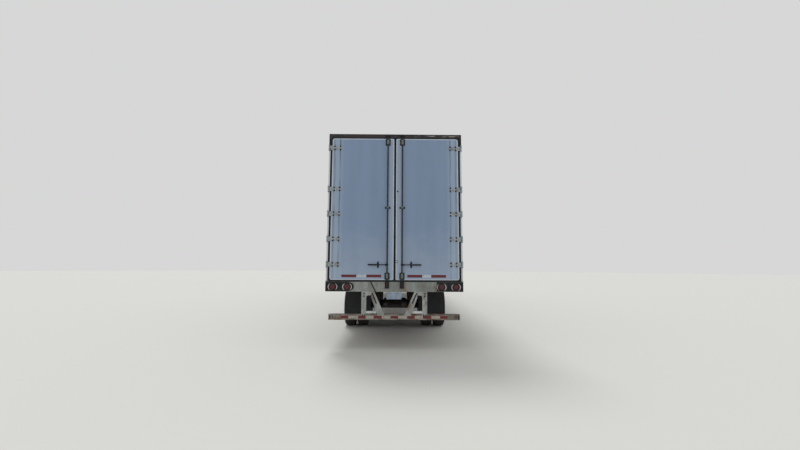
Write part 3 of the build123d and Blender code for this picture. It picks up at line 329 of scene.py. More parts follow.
# Prismatic tape: film sealed in 4 mm cells, drawn a little coarse so that they show, scuffed and dusty
def tape(name, film, seal, scuff):
    material, tree, shader, where = newFinish(name, Roughness=0.3, IOR=1.5)
    cells = addNode(
        tree, "TexVoronoi", {"Vector": where, "Scale": 130.0, "Randomness": 0.15}, feature="DISTANCE_TO_EDGE"
    ).outputs["Distance"]
    wall = bandMask(tree, cells, 0.0, 0.02, 0.07, 0.5)
    base = addNode(tree, "MixRGB", {"Fac": wall, "Color1": colour(film), "Color2": colour(seal)}).outputs[0]
    base = patches(tree, where, base, colour(scuff), 26.0, 0.6, 0.06, (1, 1, 1), 0.7)
    tree.links.new(base, shader.inputs["Base Color"])
    return material


# Pressed plate: reflective sheet on aluminium, its white painted in the cool shade of the doors, dusty towards
# its lower edge
def platePaint():
    # The sheet's tone is white painted in the doors' cool shade
    look = {"sheet": "#8797AA", "dust": "#6C747C"}
    material = layered("plateWhite", look, [("dust", 12.0, 0.56, 0.12, (1, 1, 0.4), 0.6)], Roughness=0.35)
    tree, shader, where = opened(material)
    beads = addNode(tree, "TexVoronoi", {"Vector": where, "Scale": 500.0})
    relief(tree, shader, beads.outputs["Distance"], 0.0003, 0.3)
    return material


# Forged steel under a film of old grease
def greasedSteel():
    look = {"steel": "#3B3835", "grease": "#1C1916"}
    return layered("greasedSteel", look, [("grease", 18.0, 0.48, 0.12)], Metallic=0.7, Roughness=0.35)


# Liner of the load space: white sheet above, scuffed tan composite along the floor
def wallLining():
    look = {"white": "#CFCFCA", "scuffBand": "#9C8F7A", "scratch": "#7F7C76"}
    bandTop, blend = 1.60, 0.004
    material = layered("wallLining", look, [("scratch", 6.0, 0.62, 0.05, (0.15, 1, 3), 0.6)], Roughness=0.5)
    tree, shader, where = opened(material)
    height = addNode(tree, "SeparateXYZ", {"Vector": where}).outputs["Z"]
    band = bandMask(tree, height, 0.0, bandTop, bandTop + blend)
    above = shader.inputs["Base Color"].links[0].from_socket
    base = addNode(
        tree, "MixRGB", {"Fac": band, "Color1": above, "Color2": colour(look["scuffBand"])}
    ).outputs[0]
    tree.links.new(base, shader.inputs["Base Color"])
    return material


finishes = {
    "whitePanel": whitePanel(),
    "doorSkin": doorSkin(),
    "aluminium": millAluminium("millAluminium", "#B9BBBC", "#8F8D87", 0.9),
    "roofAluminium": millAluminium("roofAluminium", "#B2B4B5", "#A09F9B", 0.55),
    # Door edge trim: aluminium, pale and dull, painted lighter as the highlight along the door edges
    "edgeAluminiumHighlight": millAluminium("edgeAluminiumHighlight", "#C0C9D6", "#A4AEBA", 0.2),
    "sill": sillZinc(),
    "guard": galvanised("guardGalvanised", "#9A9E9C", "#B2B5B3", "#74756F", "#6E4E3C", 0.63),
    "guardBar": galvanised("barGalvanised", "#7F7A70", "#99938A", "#45413A", "#6A3F29", 0.56),
    # Pale zinc; on the guard's steps its brightness is partly a painted highlight
    "stepZinc": galvanised("stepGalvanised", "#C3C6C8", "#D6D9DA", "#A2A19C", "#8A6B55", 0.72),
    "guideZinc": galvanised("guideGalvanised", "#727A79", "#868D8C", "#565B57", "#5E493B", 0.62),
    # Painted highlight: bright zinc for the crescents that stand for the glints on a ring round each tail lamp
    "crescentHighlight": galvanised("lampRingHighlight", "#C9CCCC", "#D8DADA", "#A5A6A2", "#7D6553", 0.72),
    "rails": galvanised("railGalvanised", "#8F9090", "#A3A4A3", "#66635D", "#6B4B39", 0.64),
    "chassis": chassisPaint(),
    # Lock rods and other door gear: galvanised steel painted near black, partly weathering and partly painted
    # shade
    "doorGear": weatheredSteel("weatheredAndShadedGear", "#1B1D20", "#34373A", 0.45),
    "handleSteel": weatheredSteel("handleSteel", "#121315", "#26282B", 0.2),
    "strap": weatheredSteel("zincStrap", "#8B949A", "#A8B0B6", 0.30),
    "bolt": weatheredSteel("rustyBolt", "#1A1A1B", "#2E2D2C", 0.45),
    "floor": hardwoodFloor(),
    "seal": rubber("sealRubber", "#131416", "#26282B", 0.6, 90.0, 0),
    "flap": rubber("flapRubber", "#101114", "#2A2B2E", 0.5, 60.0, 0.9),
    "tyre": rubber("tyreRubber", "#1A1A1B", "#3A3834", 0.75, 140.0, 0.5),
    "bellows": rubber("bellowsRubber", "#151515", "#33312D", 0.65, 120.0, 1.0),
    "wheel": wheelPaint(),
    "redLens": lens("redLens", "#6C0C12", "#320508"),
    "tailLens": lens("tailLens", "#6C0C1C", "#380612", 0.05),
    "amberLens": lens("amberLens", "#C86A0C", "#7A3804"),
    "tapeRed": tape("tapeRed", "#610A18", "#40070F", "#33211F"),
    "tapeWhite": tape("tapeWhite", "#AFB8C2", "#929BA5", "#7F8183"),
    "guardRed": tape("guardRed", "#6A1015", "#460B0F", "#38261F"),
    "guardWhite": tape("guardWhite", "#A39E93", "#89847A", "#5F5A52"),
    "plate": platePaint(),
    "header": headerPaint(),
    "greased": greasedSteel(),
    "lining": wallLining(),
}
print("Finishes made:", len(finishes))

# The record's slot of each finish, where a piece names no other
finishSlots = {
    "seal": "black_rubber", "flap": "black_rubber", "bellows": "black_rubber", "tyre": "tyre_rubber",
    "bolt": "dark_hardware", "doorGear": "dark_hardware", "handleSteel": "dark_hardware",
    "strap": "galvanised_steel", "guideZinc": "galvanised_steel", "crescentHighlight": "galvanised_steel",
    "rails": "galvanised_steel", "stepZinc": "galvanised_steel", "aluminium": "mill_aluminium",
    "edgeAluminiumHighlight": "mill_aluminium", "whitePanel": "white_panel", "lining": "white_panel",
    "chassis": "black_frame_paint", "wheel": "wheel_white", "redLens": "red_lens", "tailLens": "red_lens",
    "amberLens": "amber_lens", "plate": "plate_white",
}


# Nodes that keep their CAD shape get their finish here
nodeFinishes = {
    "side_walls": "whitePanel", "front_wall": "whitePanel", "rear_posts": "whitePanel",
    "bottom_rails": "aluminium", "top_rails": "aluminium", "front_corner_posts": "aluminium",
    "front_beams": "aluminium", "roof_sheet": "roofAluminium", "nose_connectors": "aluminium",
    "roof_bows": "rails", "floor": "floor", "crossmembers": "chassis", "coupler_plate": "chassis",
    "kingpin": "greased", "rear_header": "header", "rear_sill": "sill", "lamp_boxes": "seal",
    "red_lamps": "redLens", "amber_lamps": "amberLens", "hinge_butts": "strap", "rod_keepers": "doorGear",
    "licence_plate": "plate", "guard_bar": "guardBar", "guard_uprights": "guard", "mud_flaps": "flap",
    "slider_rails": "rails", "slider_frame": "chassis", "trailing_arms": "chassis", "air_springs": "bellows",
    "axles": "chassis", "air_tank": "chassis", "landing_gear_legs": "chassis", "landing_gear_feet": "chassis",
    "landing_gear_braces": "chassis", "landing_gear_crank": "doorGear",
}
pairFinishes = {
    "door_panel": "doorSkin", "door_seal": "seal", "door_hardware": "strap", "lock_rod": "doorGear",
    "lock_handle": "doorGear", "wheels_rear": "wheel", "wheels_front": "wheel", "tyres_rear": "tyre",
    "tyres_front": "tyre",
}
for sideName, _ in sides:
    for start, finishName in pairFinishes.items():
        nodeFinishes[f"{start}_{sideName}"] = finishName
for nodeName, finishName in nodeFinishes.items():
    nodes[nodeName].data.materials.clear()
    nodes[nodeName].data.materials.append(finishes[finishName])
print("CAD nodes finished:", len(nodeFinishes))


# Modelling helpers: each starts from a primitive and leaves one object selected, at the origin
def pickOnly(*items):
    bpy.ops.object.select_all(action="DESELECT")
    for item in items:
        item.select_set(True)
    bpy.context.view_layer.objects.active = items[0]


def applyPlace(item):
    pickOnly(item)
    bpy.ops.object.transform_apply(location=True, rotation=True, scale=True)
    return item


def openEdit(item):
    pickOnly(item)
    bpy.ops.object.mode_set(mode="EDIT")
    bpy.ops.mesh.select_mode(type="VERT")
    bpy.ops.mesh.select_all(action="SELECT")


def closeEdit(item):
    bpy.ops.mesh.select_all(action="SELECT")
    bpy.ops.mesh.remove_doubles(threshold=1e-5)
    bpy.ops.mesh.normals_make_consistent(inside=False)
    bpy.ops.object.mode_set(mode="OBJECT")
    return item


# Selects the faces that a test on their centre and normal picks out
def pickFaces(item, test):
    bpy.ops.mesh.select_mode(type="FACE")
    bpy.ops.mesh.select_all(action="DESELECT")
    mesh = bmesh.from_edit_mesh(item.data)
    for face in mesh.faces:
        face.select_set(bool(test(face.calc_center_median(), face.normal)))
    mesh.select_flush_mode()
    bmesh.update_edit_mesh(item.data)


def makeBlock(low, high, bevel=0.0, segments=2):
    low, high = zip(*[sorted(ends) for ends in zip(low, high)])
    middle = [(a + b) / 2 for a, b in zip(low, high)]
    size = [b - a for a, b in zip(low, high)]
    bpy.ops.mesh.primitive_cube_add(size=1.0, location=middle, scale=size)
    item = applyPlace(bpy.context.object)
    if bevel:
        openEdit(item)
        bpy.ops.mesh.bevel(offset=bevel, segments=segments, affect="EDGES")
        closeEdit(item)
    return item


def makeRod(start, end, radius, flats=20, bevel=0.0):
    run = Vector(end) - Vector(start)
    bpy.ops.mesh.primitive_cylinder_add(
        vertices=flats, radius=radius, depth=run.length,
        location=(Vector(start) + Vector(end)) / 2, rotation=run.to_track_quat("Z", "Y").to_euler(),
    )
    item = applyPlace(bpy.context.object)
    if bevel:
        openEdit(item)
        pickFaces(item, lambda middle, normal: abs(normal.dot(run.normalized())) > 0.99)
        bpy.ops.mesh.bevel(offset=bevel, segments=2, affect="EDGES")
        closeEdit(item)
    return item


# A line of points drawn by extruding one vertex, left open in edit mode
def drawLine(points):
    bpy.ops.object.select_all(action="DESELECT")
    bpy.ops.mesh.primitive_plane_add(size=0.01, location=points[0])
    item = applyPlace(bpy.context.object)
    openEdit(item)
    bpy.ops.mesh.merge(type="CENTER")
    for before, after in zip(points, points[1:]):
        step = Vector(after) - Vector(before)
        bpy.ops.mesh.extrude_vertices_move(TRANSFORM_OT_translate={"value": step})
    bpy.ops.mesh.select_all(action="SELECT")
    return item


# Profile in (distance along the axis, radius), closed or left open, spun round an axis through a centre
def makeTurned(profile, centre, axis="Y", steps=32, closed=True):
    centre = Vector(centre)
    axes = {"X": Vector((1, 0, 0)), "Y": Vector((0, 1, 0)), "Z": Vector((0, 0, 1))}
    outward = axes["X"] if axis == "Z" else axes["Z"]
    points = [centre + axes[axis] * along + outward * radius for along, radius in profile]
    item = drawLine(points + points[:1] if closed else points)
    bpy.ops.mesh.spin(steps=steps, angle=2 * math.pi, center=centre, axis=axes[axis])
    return closeEdit(item)


# Point on the unit circle across an axis, for outlines with arcs and for bolts round a centre
def onCircle(degrees, axis="Y"):
    across, up = math.cos(math.radians(degrees)), math.sin(math.radians(degrees))
    return Vector({"X": (0, across, up), "Y": (across, 0, up), "Z": (across, up, 0)}[axis])


# Flat outline pushed out into a plate
def makePlate(outline, push, bevel=0.0):
    item = drawLine(outline)
    bpy.ops.mesh.edge_face_add()
    bpy.ops.mesh.extrude_region_move(TRANSFORM_OT_translate={"value": push})
    if bevel:
        way = Vector(push).normalized()
        pickFaces(item, lambda middle, normal: abs(normal.dot(way)) > 0.99)
        bpy.ops.mesh.region_to_loop()
        bpy.ops.mesh.bevel(offset=bevel, segments=2, affect="EDGES")
    return closeEdit(item)


def copyPiece(item, move=(0, 0, 0), mirror=False):
    twin = item.copy()
    twin.data = item.data.copy()
    bpy.context.scene.collection.objects.link(twin)
    if mirror:
        twin.scale = (1, -1, 1)
        applyPlace(twin)
        openEdit(twin)
        closeEdit(twin)
    twin.location = move
    return applyPlace(twin)


def joinPieces(items):
    pickOnly(*items)
    if len(items) > 1:
        bpy.ops.object.join()
    return items[0]


def arrayRow(item, count, step):
    pickOnly(item)
    row = item.modifiers.new("row", "ARRAY")
    row.count = count
    row.use_relative_offset = False
    row.use_constant_offset = True
    row.constant_offset_displace = step
    bpy.ops.object.modifier_apply(modifier=row.name)
    return item


# Cuts a set of tools out of a piece and deletes the tools
def cutOut(item, tools):
    tool = joinPieces(tools)
    pickOnly(item)
    cut = item.modifiers.new("cut", "BOOLEAN")
    cut.object = tool
    cut.solver = "EXACT"
    bpy.ops.object.modifier_apply(modifier=cut.name)
    bpy.data.objects.remove(tool)
    return item


# Joins, names and finishes a piece, ties it to its body, and hides the node that it stands for
def finishPiece(items, name, finish, smooth=40, body="trailer", slot=None, node=None):
    item = joinPieces(items) if isinstance(items, list) else items
    item.name = name
    item.data.name = name
    item.data.materials.clear()
    item.data.materials.append(finishes[finish])
    pickOnly(item)
    bpy.ops.object.shade_smooth_by_angle(angle=math.radians(smooth))
    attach(item, body)
    slot = slot or finishSlots.get(finish)
    if node:
        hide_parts(node)


# Bolt standing off a face on a washer: a hexagon head, or a round one where it is domed
def makeBolt(place, way, acrossFlats, headHeight, domed=False):
    place, way = Vector(place), Vector(way)
    washer = makeRod(place, place + way * headHeight * 0.25, acrossFlats * 0.62, 16)
    flats, reach = (16, 0.5) if domed else (6, 0.577)
    head = makeRod(place, place + way * headHeight * 1.2, acrossFlats * reach, flats, headHeight * 0.18)
    return joinPieces([head, washer])


# Bolts of one size at a list of places, modelled once and copied
def boltsAt(places, way, acrossFlats, headHeight, domed=False):
    bolt = makeBolt(places[0], way, acrossFlats, headHeight, domed)
    copies = [copyPiece(bolt, Vector(place) - Vector(places[0])) for place in places[1:]]
    return joinPieces([bolt] + copies)


# Small dome-headed rivet, standing off a surface; repeated by arrays of (count, step), so it has few faces
def rivetRows(place, way, radius, proud, *rows):
    run = Vector(way)
    bpy.ops.mesh.primitive_cone_add(
        vertices=8, radius1=radius, radius2=radius * 0.5, depth=proud, end_fill_type="NGON",
        location=Vector(place) + run * proud / 2, rotation=run.to_track_quat("Z", "Y").to_euler(),
    )
    rivet = applyPlace(bpy.context.object)
    for count, step in rows:
        arrayRow(rivet, count, step)
    return rivet


# Tyres: ribbed trailer tread of five ribs, worn shoulders with small sipes, rings moulded on the sidewalls
def tyrePair(axleName, sideName):
    size = {
        "steps": 96, "halfWidth": 0.141, "treadEdge": 0.112, "crownDrop": 0.006, "grooves": (0.026, 0.072),
        "grooveHalf": 0.006, "grooveDepth": 0.013, "sipes": (0.101, 0.1165), "sipeRim": 0.003,
        "sipeDepth": 0.005,
    }
    node = f"tyres_{axleName}_{sideName}"
    low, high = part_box(node)
    middle = (low + high) / 2
    outerRadius = (high.z - low.z) / 2
    dualHalf = (high.y - low.y) / 2 - size["halfWidth"]
    half, wide = [(0.0, outerRadius)], size["grooveHalf"]
    for groove in size["grooves"]:
        edge = outerRadius - size["crownDrop"] * (groove / size["treadEdge"]) ** 2
        bottom = edge - size["grooveDepth"]
        half += [(groove - wide, edge), (groove - 0.6 * wide, bottom), (groove + 0.6 * wide, bottom),
                 (groove + wide, edge)]
    half += [
        (0.101, 0.503), (0.110, 0.499), (0.116, 0.492), (0.122, 0.478), (0.1265, 0.474), (0.129, 0.458),
        (0.1345, 0.440), (0.1405, 0.404), (0.1410, 0.388), (0.1385, 0.366), (0.1385, 0.358), (0.1345, 0.352),
        (0.131, 0.330), (0.127, 0.326), (0.124, 0.308), (0.120, 0.300), (0.112, 0.2875),
    ]
    profile = [(-along, radius) for along, radius in reversed(half[1:])] + half
    stepTurn = 2 * math.pi / size["steps"]
    tyres = []
    for offset in (-dualHalf, dualHalf):
        centre = Vector((middle.x, middle.y + offset, middle.z))
        tyre = makeTurned(profile, centre, "Y", size["steps"])
        openEdit(tyre)

        def onSipe(place, normal):
            turn = math.atan2(place.z - centre.z, place.x - centre.x)
            inward, outward = size["sipes"]
            return inward < abs(place.y - centre.y) < outward and int(round(turn / stepTurn - 0.5)) % 3 == 0

        pickFaces(tyre, onSipe)
        bpy.ops.mesh.inset(thickness=size["sipeRim"], depth=-size["sipeDepth"])
        tyres.append(closeEdit(tyre))
    finishPiece(
        tyres, f"tyrePair_{axleName}_{sideName}", "tyre", 38, f"wheel_pair_{axleName}_{sideName}", node=node
    )


# Pressed steel disc wheels bolted back to back on a ten-stud hub, the outer one dished deep
def wheelPair(axleName, sideName, sign):
    size = {
        "steps": 72, "middleY": 0.984, "offset": 0.165, "plate": 0.011, "handHoles": 5, "handHoleCircle": 0.196,
        "handHole": 0.029, "studs": 10, "studCircle": 0.1429, "nutFlats": 0.033, "capBoltCircle": 0.073,
    }
    node = f"wheels_{axleName}_{sideName}"
    body = f"wheel_pair_{axleName}_{sideName}"
    low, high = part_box(node)
    centre = Vector((low.x + high.x, 0, low.z + high.z)) / 2
    centre.y = sign * size["middleY"]
    outward = Vector((0, sign, 0))

    def turnOut(profile, steps, start=centre, way=1, closed=True):
        return makeTurned(
            [(way * sign * along, radius) for along, radius in profile], start, "Y", steps, closed
        )

    barrel = [
        (0.121, 0.2955), (0.1165, 0.2975), (0.112, 0.2945), (0.1075, 0.2845), (0.075, 0.276), (0.058, 0.258),
        (-0.020, 0.252), (-0.066, 0.262), (-0.080, 0.276), (-0.1075, 0.2845), (-0.112, 0.2945),
        (-0.1165, 0.2975), (-0.121, 0.2955),
        (-0.116, 0.290), (-0.104, 0.278), (-0.083, 0.270), (-0.069, 0.255), (-0.022, 0.245), (0.056, 0.251),
        (0.078, 0.270), (0.104, 0.278), (0.116, 0.290),
    ]
    # The disc: from its weld inside the barrel in to the flat where it bolts to the hub, and back
    disc = [
        (0.112, 0.2490), (0.100, 0.2465), (0.072, 0.236), (0.044, 0.214), (0.026, 0.190), (0.013, 0.172),
        (size["plate"], 0.164), (size["plate"], 0.1115),
        (0.0, 0.1115), (0.0, 0.168), (0.004, 0.176), (0.016, 0.194), (0.034, 0.219), (0.063, 0.242),
        (0.096, 0.2535), (0.112, 0.2545),
    ]
    rims = []
    for way in (1, -1):
        rim = turnOut([(along + size["offset"], radius) for along, radius in barrel], size["steps"], way=way)
        plate = turnOut(disc, size["steps"], way=way)
        if way == 1:
            tools = []
            for index in range(size["handHoles"]):
                spot = centre + onCircle(360 * (index + 0.5) / size["handHoles"]) * size["handHoleCircle"]
                tools.append(makeRod(spot - outward * 0.05, spot + outward * 0.09, size["handHole"], 20))
            plate = cutOut(plate, tools)
        rims += [rim, plate]
    valveFoot, valveTip = (centre + Vector((x, sign * y, 0)) for x, y in ((0.225, 0.08), (0.205, 0.150)))
    rims.append(makeRod(valveFoot, valveTip, 0.0045, 10))
    finishPiece(rims, f"discWheels_{axleName}_{sideName}", "wheel", 32, body, node=node)

    hub = [
        (0.011, 0.1105), (0.034, 0.1105), (0.040, 0.104), (0.058, 0.094), (0.104, 0.088), (0.126, 0.086),
        (0.128, 0.080), (0.140, 0.080), (0.144, 0.070), (0.168, 0.066), (0.184, 0.058), (0.1895, 0.044),
        (0.1895, 0.0005), (0.011, 0.0005),
    ]
    drum = [
        (-0.011, 0.100), (-0.011, 0.190), (-0.024, 0.206), (-0.060, 0.210), (-0.064, 0.216), (-0.072, 0.216),
        (-0.076, 0.210), (-0.236, 0.210), (-0.240, 0.217), (-0.262, 0.217), (-0.262, 0.198), (-0.040, 0.198),
        (-0.034, 0.190), (-0.034, 0.100),
    ]
    capBolts = []
    for index in range(size["studs"] // 2):
        spot = centre + onCircle(720 * index / size["studs"]) * size["capBoltCircle"]
        capBolts.append(makeBolt(spot + outward * 0.139, outward, 0.013, 0.006))
    hubParts = [turnOut(hub, 48), turnOut(drum, 60)] + capBolts
    finishPiece(hubParts, f"hubAndDrum_{axleName}_{sideName}", "chassis", 32, body)

    nuts = []
    flange = [(0.0, 0.0005), (0.0, 0.023), (0.004, 0.023), (0.008, 0.018), (0.008, 0.0005)]
    for index in range(size["studs"]):
        spot = centre + onCircle(360 * index / size["studs"]) * size["studCircle"] + outward * size["plate"]
        nuts.append(turnOut(flange, 16, spot, closed=False))
        nuts.append(makeRod(spot, spot + outward * 0.026, size["nutFlats"] * 0.577, 6, 0.0015))
        nuts.append(makeRod(spot, spot + outward * 0.044, 0.011, 14, 0.0015))
    finishPiece(nuts, f"wheelNuts_{axleName}_{sideName}", "bolt", 32, body)


for sideName, sign in sides:
    for axleName in ("rear", "front"):
        tyrePair(axleName, sideName)
        wheelPair(axleName, sideName, sign)
print("Tyres and wheels made")


# Places of the hinge straps' bolts on one door, at a distance along the trailer
def hingeBolts(x, sign):
    return [(x, sign * y, z + rise) for z in hingeHeights for y in boltLines for rise in (-boltRise, boltRise)]


# Door skin: bolts through straps, guides and retainers, an edge frame, and reflective tape low on the door
def doorDetails(sideName, sign):
    size = {
        "strapThick": 0.006, "guideThick": 0.010, "guideBoltY": 0.0405,
        "guideBolts": (1.314, 1.400, 2.656, 3.907, 3.993),
        "retainerThick": 0.008, "retainerBoltZ": 0.047, "edgeWidth": 0.017, "edgeProud": 0.0016,
        "edgeCorner": 0.040, "tapeLow": 1.333, "tapeHigh": 1.384, "tapeProud": 0.0007,
    }
    body = "door_" + sideName
    doorLow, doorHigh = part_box("door_panel_" + sideName)
    guides = [(doorFaceX - size["guideThick"], sign * (rodY + across), z)
              for across in (-size["guideBoltY"], size["guideBoltY"]) for z in size["guideBolts"]]
    retainers = [(doorFaceX - size["retainerThick"], sign * retainerY, handleZ + rise)
                 for rise in (-size["retainerBoltZ"], size["retainerBoltZ"])]
    bolts = [
        boltsAt(hingeBolts(doorFaceX - size["strapThick"], sign), (-1, 0, 0), 0.026, 0.010, domed=True),
        boltsAt(guides, (-1, 0, 0), 0.014, 0.007),
        boltsAt(retainers, (-1, 0, 0), 0.013, 0.006),
    ]
    finishPiece(bolts, "doorBolts_" + sideName, "bolt", body=body)

    # Aluminium edge frame, its pale tone partly a painted highlight along the door edges: a rounded outline,
    # inset, its middle taken out and pushed to a lip
    middle = (doorLow + doorHigh) / 2
    bpy.ops.mesh.primitive_plane_add(
        size=1.0, location=(doorFaceX, middle.y, middle.z), rotation=(0, math.pi / 2, 0)
    )
    edge = bpy.context.object
    edge.scale = (doorHigh.z - doorLow.z, doorHigh.y - doorLow.y, 1)
    applyPlace(edge)
    openEdit(edge)
    bpy.ops.mesh.bevel(offset=size["edgeCorner"], segments=8, affect="VERTICES")
    bpy.ops.mesh.select_all(action="SELECT")
    bpy.ops.mesh.inset(thickness=size["edgeWidth"])
    bpy.ops.mesh.delete(type="FACE")
    bpy.ops.mesh.select_all(action="SELECT")
    bpy.ops.mesh.extrude_region_move(TRANSFORM_OT_translate={"value": (-size["edgeProud"], 0, 0)})
    finishPiece(closeEdit(edge), "doorEdgeFrame_" + sideName, "edgeAluminiumHighlight", 30, body)

    # Tape lengths, from the hinge side inwards, as they were stuck on
    lengths = {
        "left": ((1.000, 0.719, "tapeRed"), (0.719, 0.531, "tapeWhite"), (0.531, 0.249, "tapeRed")),
        "right": ((-0.241, -0.522, "tapeRed"), (-0.522, -0.691, "tapeWhite"), (-0.691, -0.971, "tapeRed")),
    }
    strips = {"tapeRed": [], "tapeWhite": []}
    for startY, endY, finish in lengths[sideName]:
        low = (doorFaceX - size["tapeProud"], startY, size["tapeLow"])
        strips[finish].append(makeBlock(low, (doorFaceX, endY, size["tapeHigh"]), 0.0002, 1))
    for finish, found in strips.items():
        finishPiece(found, f"door_{finish}_{sideName}", finish, body=body)


# Tail lamps: grommets, a domed lens over each, and a bright crescent on each side: painted highlights of a lamp
# ring
def tailLamps():
    size = {"ys": (0.888, 1.159), "z": 1.155, "lens": 0.0500, "grommet": 0.0735, "crescentIn": 0.0745,
            "crescentOut": 0.0890, "halfTurn": 54}
    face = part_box("lamp_boxes")[0].x
    lens, grommet = size["lens"], size["grommet"]
    ring = [(0.0, lens - 0.001), (-0.007, lens - 0.001), (-0.011, lens + 0.002), (-0.0125, lens + 0.008),
            (-0.0115, grommet - 0.007), (-0.006, grommet - 0.001), (0.0, grommet)]
    dome = [(-0.004, lens), (-0.010, lens), (-0.0135, lens * 0.93), (-0.0160, lens * 0.70),
            (-0.0168, lens * 0.38), (-0.0170, 0.0005), (-0.004, 0.0005)]
    turns = [size["halfTurn"] * (index / 5 - 1) for index in range(11)]
    bulge = size["crescentOut"] - size["crescentIn"]
    reaches = [size["crescentIn"] + bulge * math.cos(math.radians(1.45 * turn)) for turn in turns]
    grommets, lenses, crescents = [], [], []
    for _, sign in sides:
        for lampY in size["ys"]:
            centre = Vector((face, sign * lampY, size["z"]))
            grommets.append(makeTurned(ring, centre, "X", 40))
            lenses.append(makeTurned(dome, centre, "X", 40))
            # Painted highlight: a bright crescent each side of the lamp
            for way in (0, 180):
                outline = [centre + onCircle(way + turn, "X") * reach for turn, reach in zip(turns, reaches)]
                outline += [centre + onCircle(way - turn, "X") * size["crescentIn"] for turn in turns]
                crescents.append(makePlate(outline, (-0.0022, 0, 0), 0.0006))
    finishPiece(grommets, "lampGrommets", "seal")
    finishPiece(lenses, "tailLampLenses", "tailLens", node="red_lamps")
    finishPiece(crescents, "lampRingHighlights", "crescentHighlight")


# Rear impact guard: tape between the places measured on it, plugged ends, slots and bolts of the uprights
def guardDetails():
    size = {
        "reds": ((0.997, 0.854), (0.672, 0.533), (0.385, 0.231), (0.070, -0.074), (-0.239, -0.383),
                 (-0.535, -0.688), (-0.854, -0.996)),
        "tapeLow": 0.575, "tapeHigh": 0.625, "tapeProud": 0.0008, "plugLong": 0.012, "plugInset": 0.008,
        "slots": ((0.030, 0.012), (0.075, 0.008)), "slotInset": 0.022,
        "bolts": ((0.570, 1.035), (0.570, 0.985), (0.415, 1.030), (0.438, 0.990), (0.548, 0.637),
                  (0.592, 0.637)),
    }
    low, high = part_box("guard_bar")
    face, inset, proud = low.x, size["plugInset"], low.x - size["tapeProud"]
    gaps = [(before[1], after[0]) for before, after in zip(size["reds"], size["reds"][1:])]
    for finish, runs in (("Red", size["reds"]), ("White", gaps)):
        strips = [makeBlock((proud, start, size["tapeLow"]), (face, end, size["tapeHigh"]), 0.0002, 1)
                  for start, end in runs]
        finishPiece(strips, "guardTape" + finish, "guard" + finish)

    # Rubber end plugs of the bar, with slots in the rear face at each end, drawn as dark blocks painted as the
    # shade inside them
    plugs, places = [], []
    for _, sign in sides:
        end = sign * high.y
        plugs.append(makeBlock(
            (face + inset, end - sign * size["plugLong"], low.z + inset), (high.x - inset, end, high.z - inset),
            0.004
        ))
        # Slots: dark blocks painted as the shade inside them
        for across, half in size["slots"]:
            slotY = end - sign * across
            plugs.append(makeBlock(
                (face - 0.0006, slotY - half, low.z + size["slotInset"]),
                (face + 0.001, slotY + half, high.z - size["slotInset"]), 0.0003, 1,
            ))
        places += [(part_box("guard_uprights")[0].x - 0.0002, sign * y, z) for y, z in size["bolts"]]
    finishPiece(plugs, "guardEndPlugs", "seal")
    finishPiece(boltsAt(places, (-1, 0, 0), 0.024, 0.012), "guardBolts", "bolt")


# Licence plate: thin rim pressed round the sheet and two bolts
def plateDetails():
    size = {"top": 1.057, "rim": 0.006, "proud": 0.0015, "boltIn": 0.064, "boltDown": 0.018}
    low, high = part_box("licence_plate")
    face, rim, top = low.x, size["rim"], size["top"]
    outer = [(face, low.y, low.z), (face, high.y, low.z), (face, high.y, top), (face, low.y, top)]
    hole = makeBlock((face - 0.01, low.y + rim, low.z + rim), (face + 0.01, high.y - rim, top - rim))
    finishPiece(cutOut(makePlate(outer, (-size["proud"], 0, 0)), [hole]), "plateRim", "plate", 30)
    places = [(face - 0.0005, y, top - size["boltDown"])
              for y in (low.y + size["boltIn"], high.y - size["boltIn"])]
    finishPiece(boltsAt(places, (-1, 0, 0), 0.011, 0.005), "plateBolts", "bolt")


for sideName, sign in sides:
    doorDetails(sideName, sign)
tailLamps()
guardDetails()
plateDetails()
print("Rear details made")


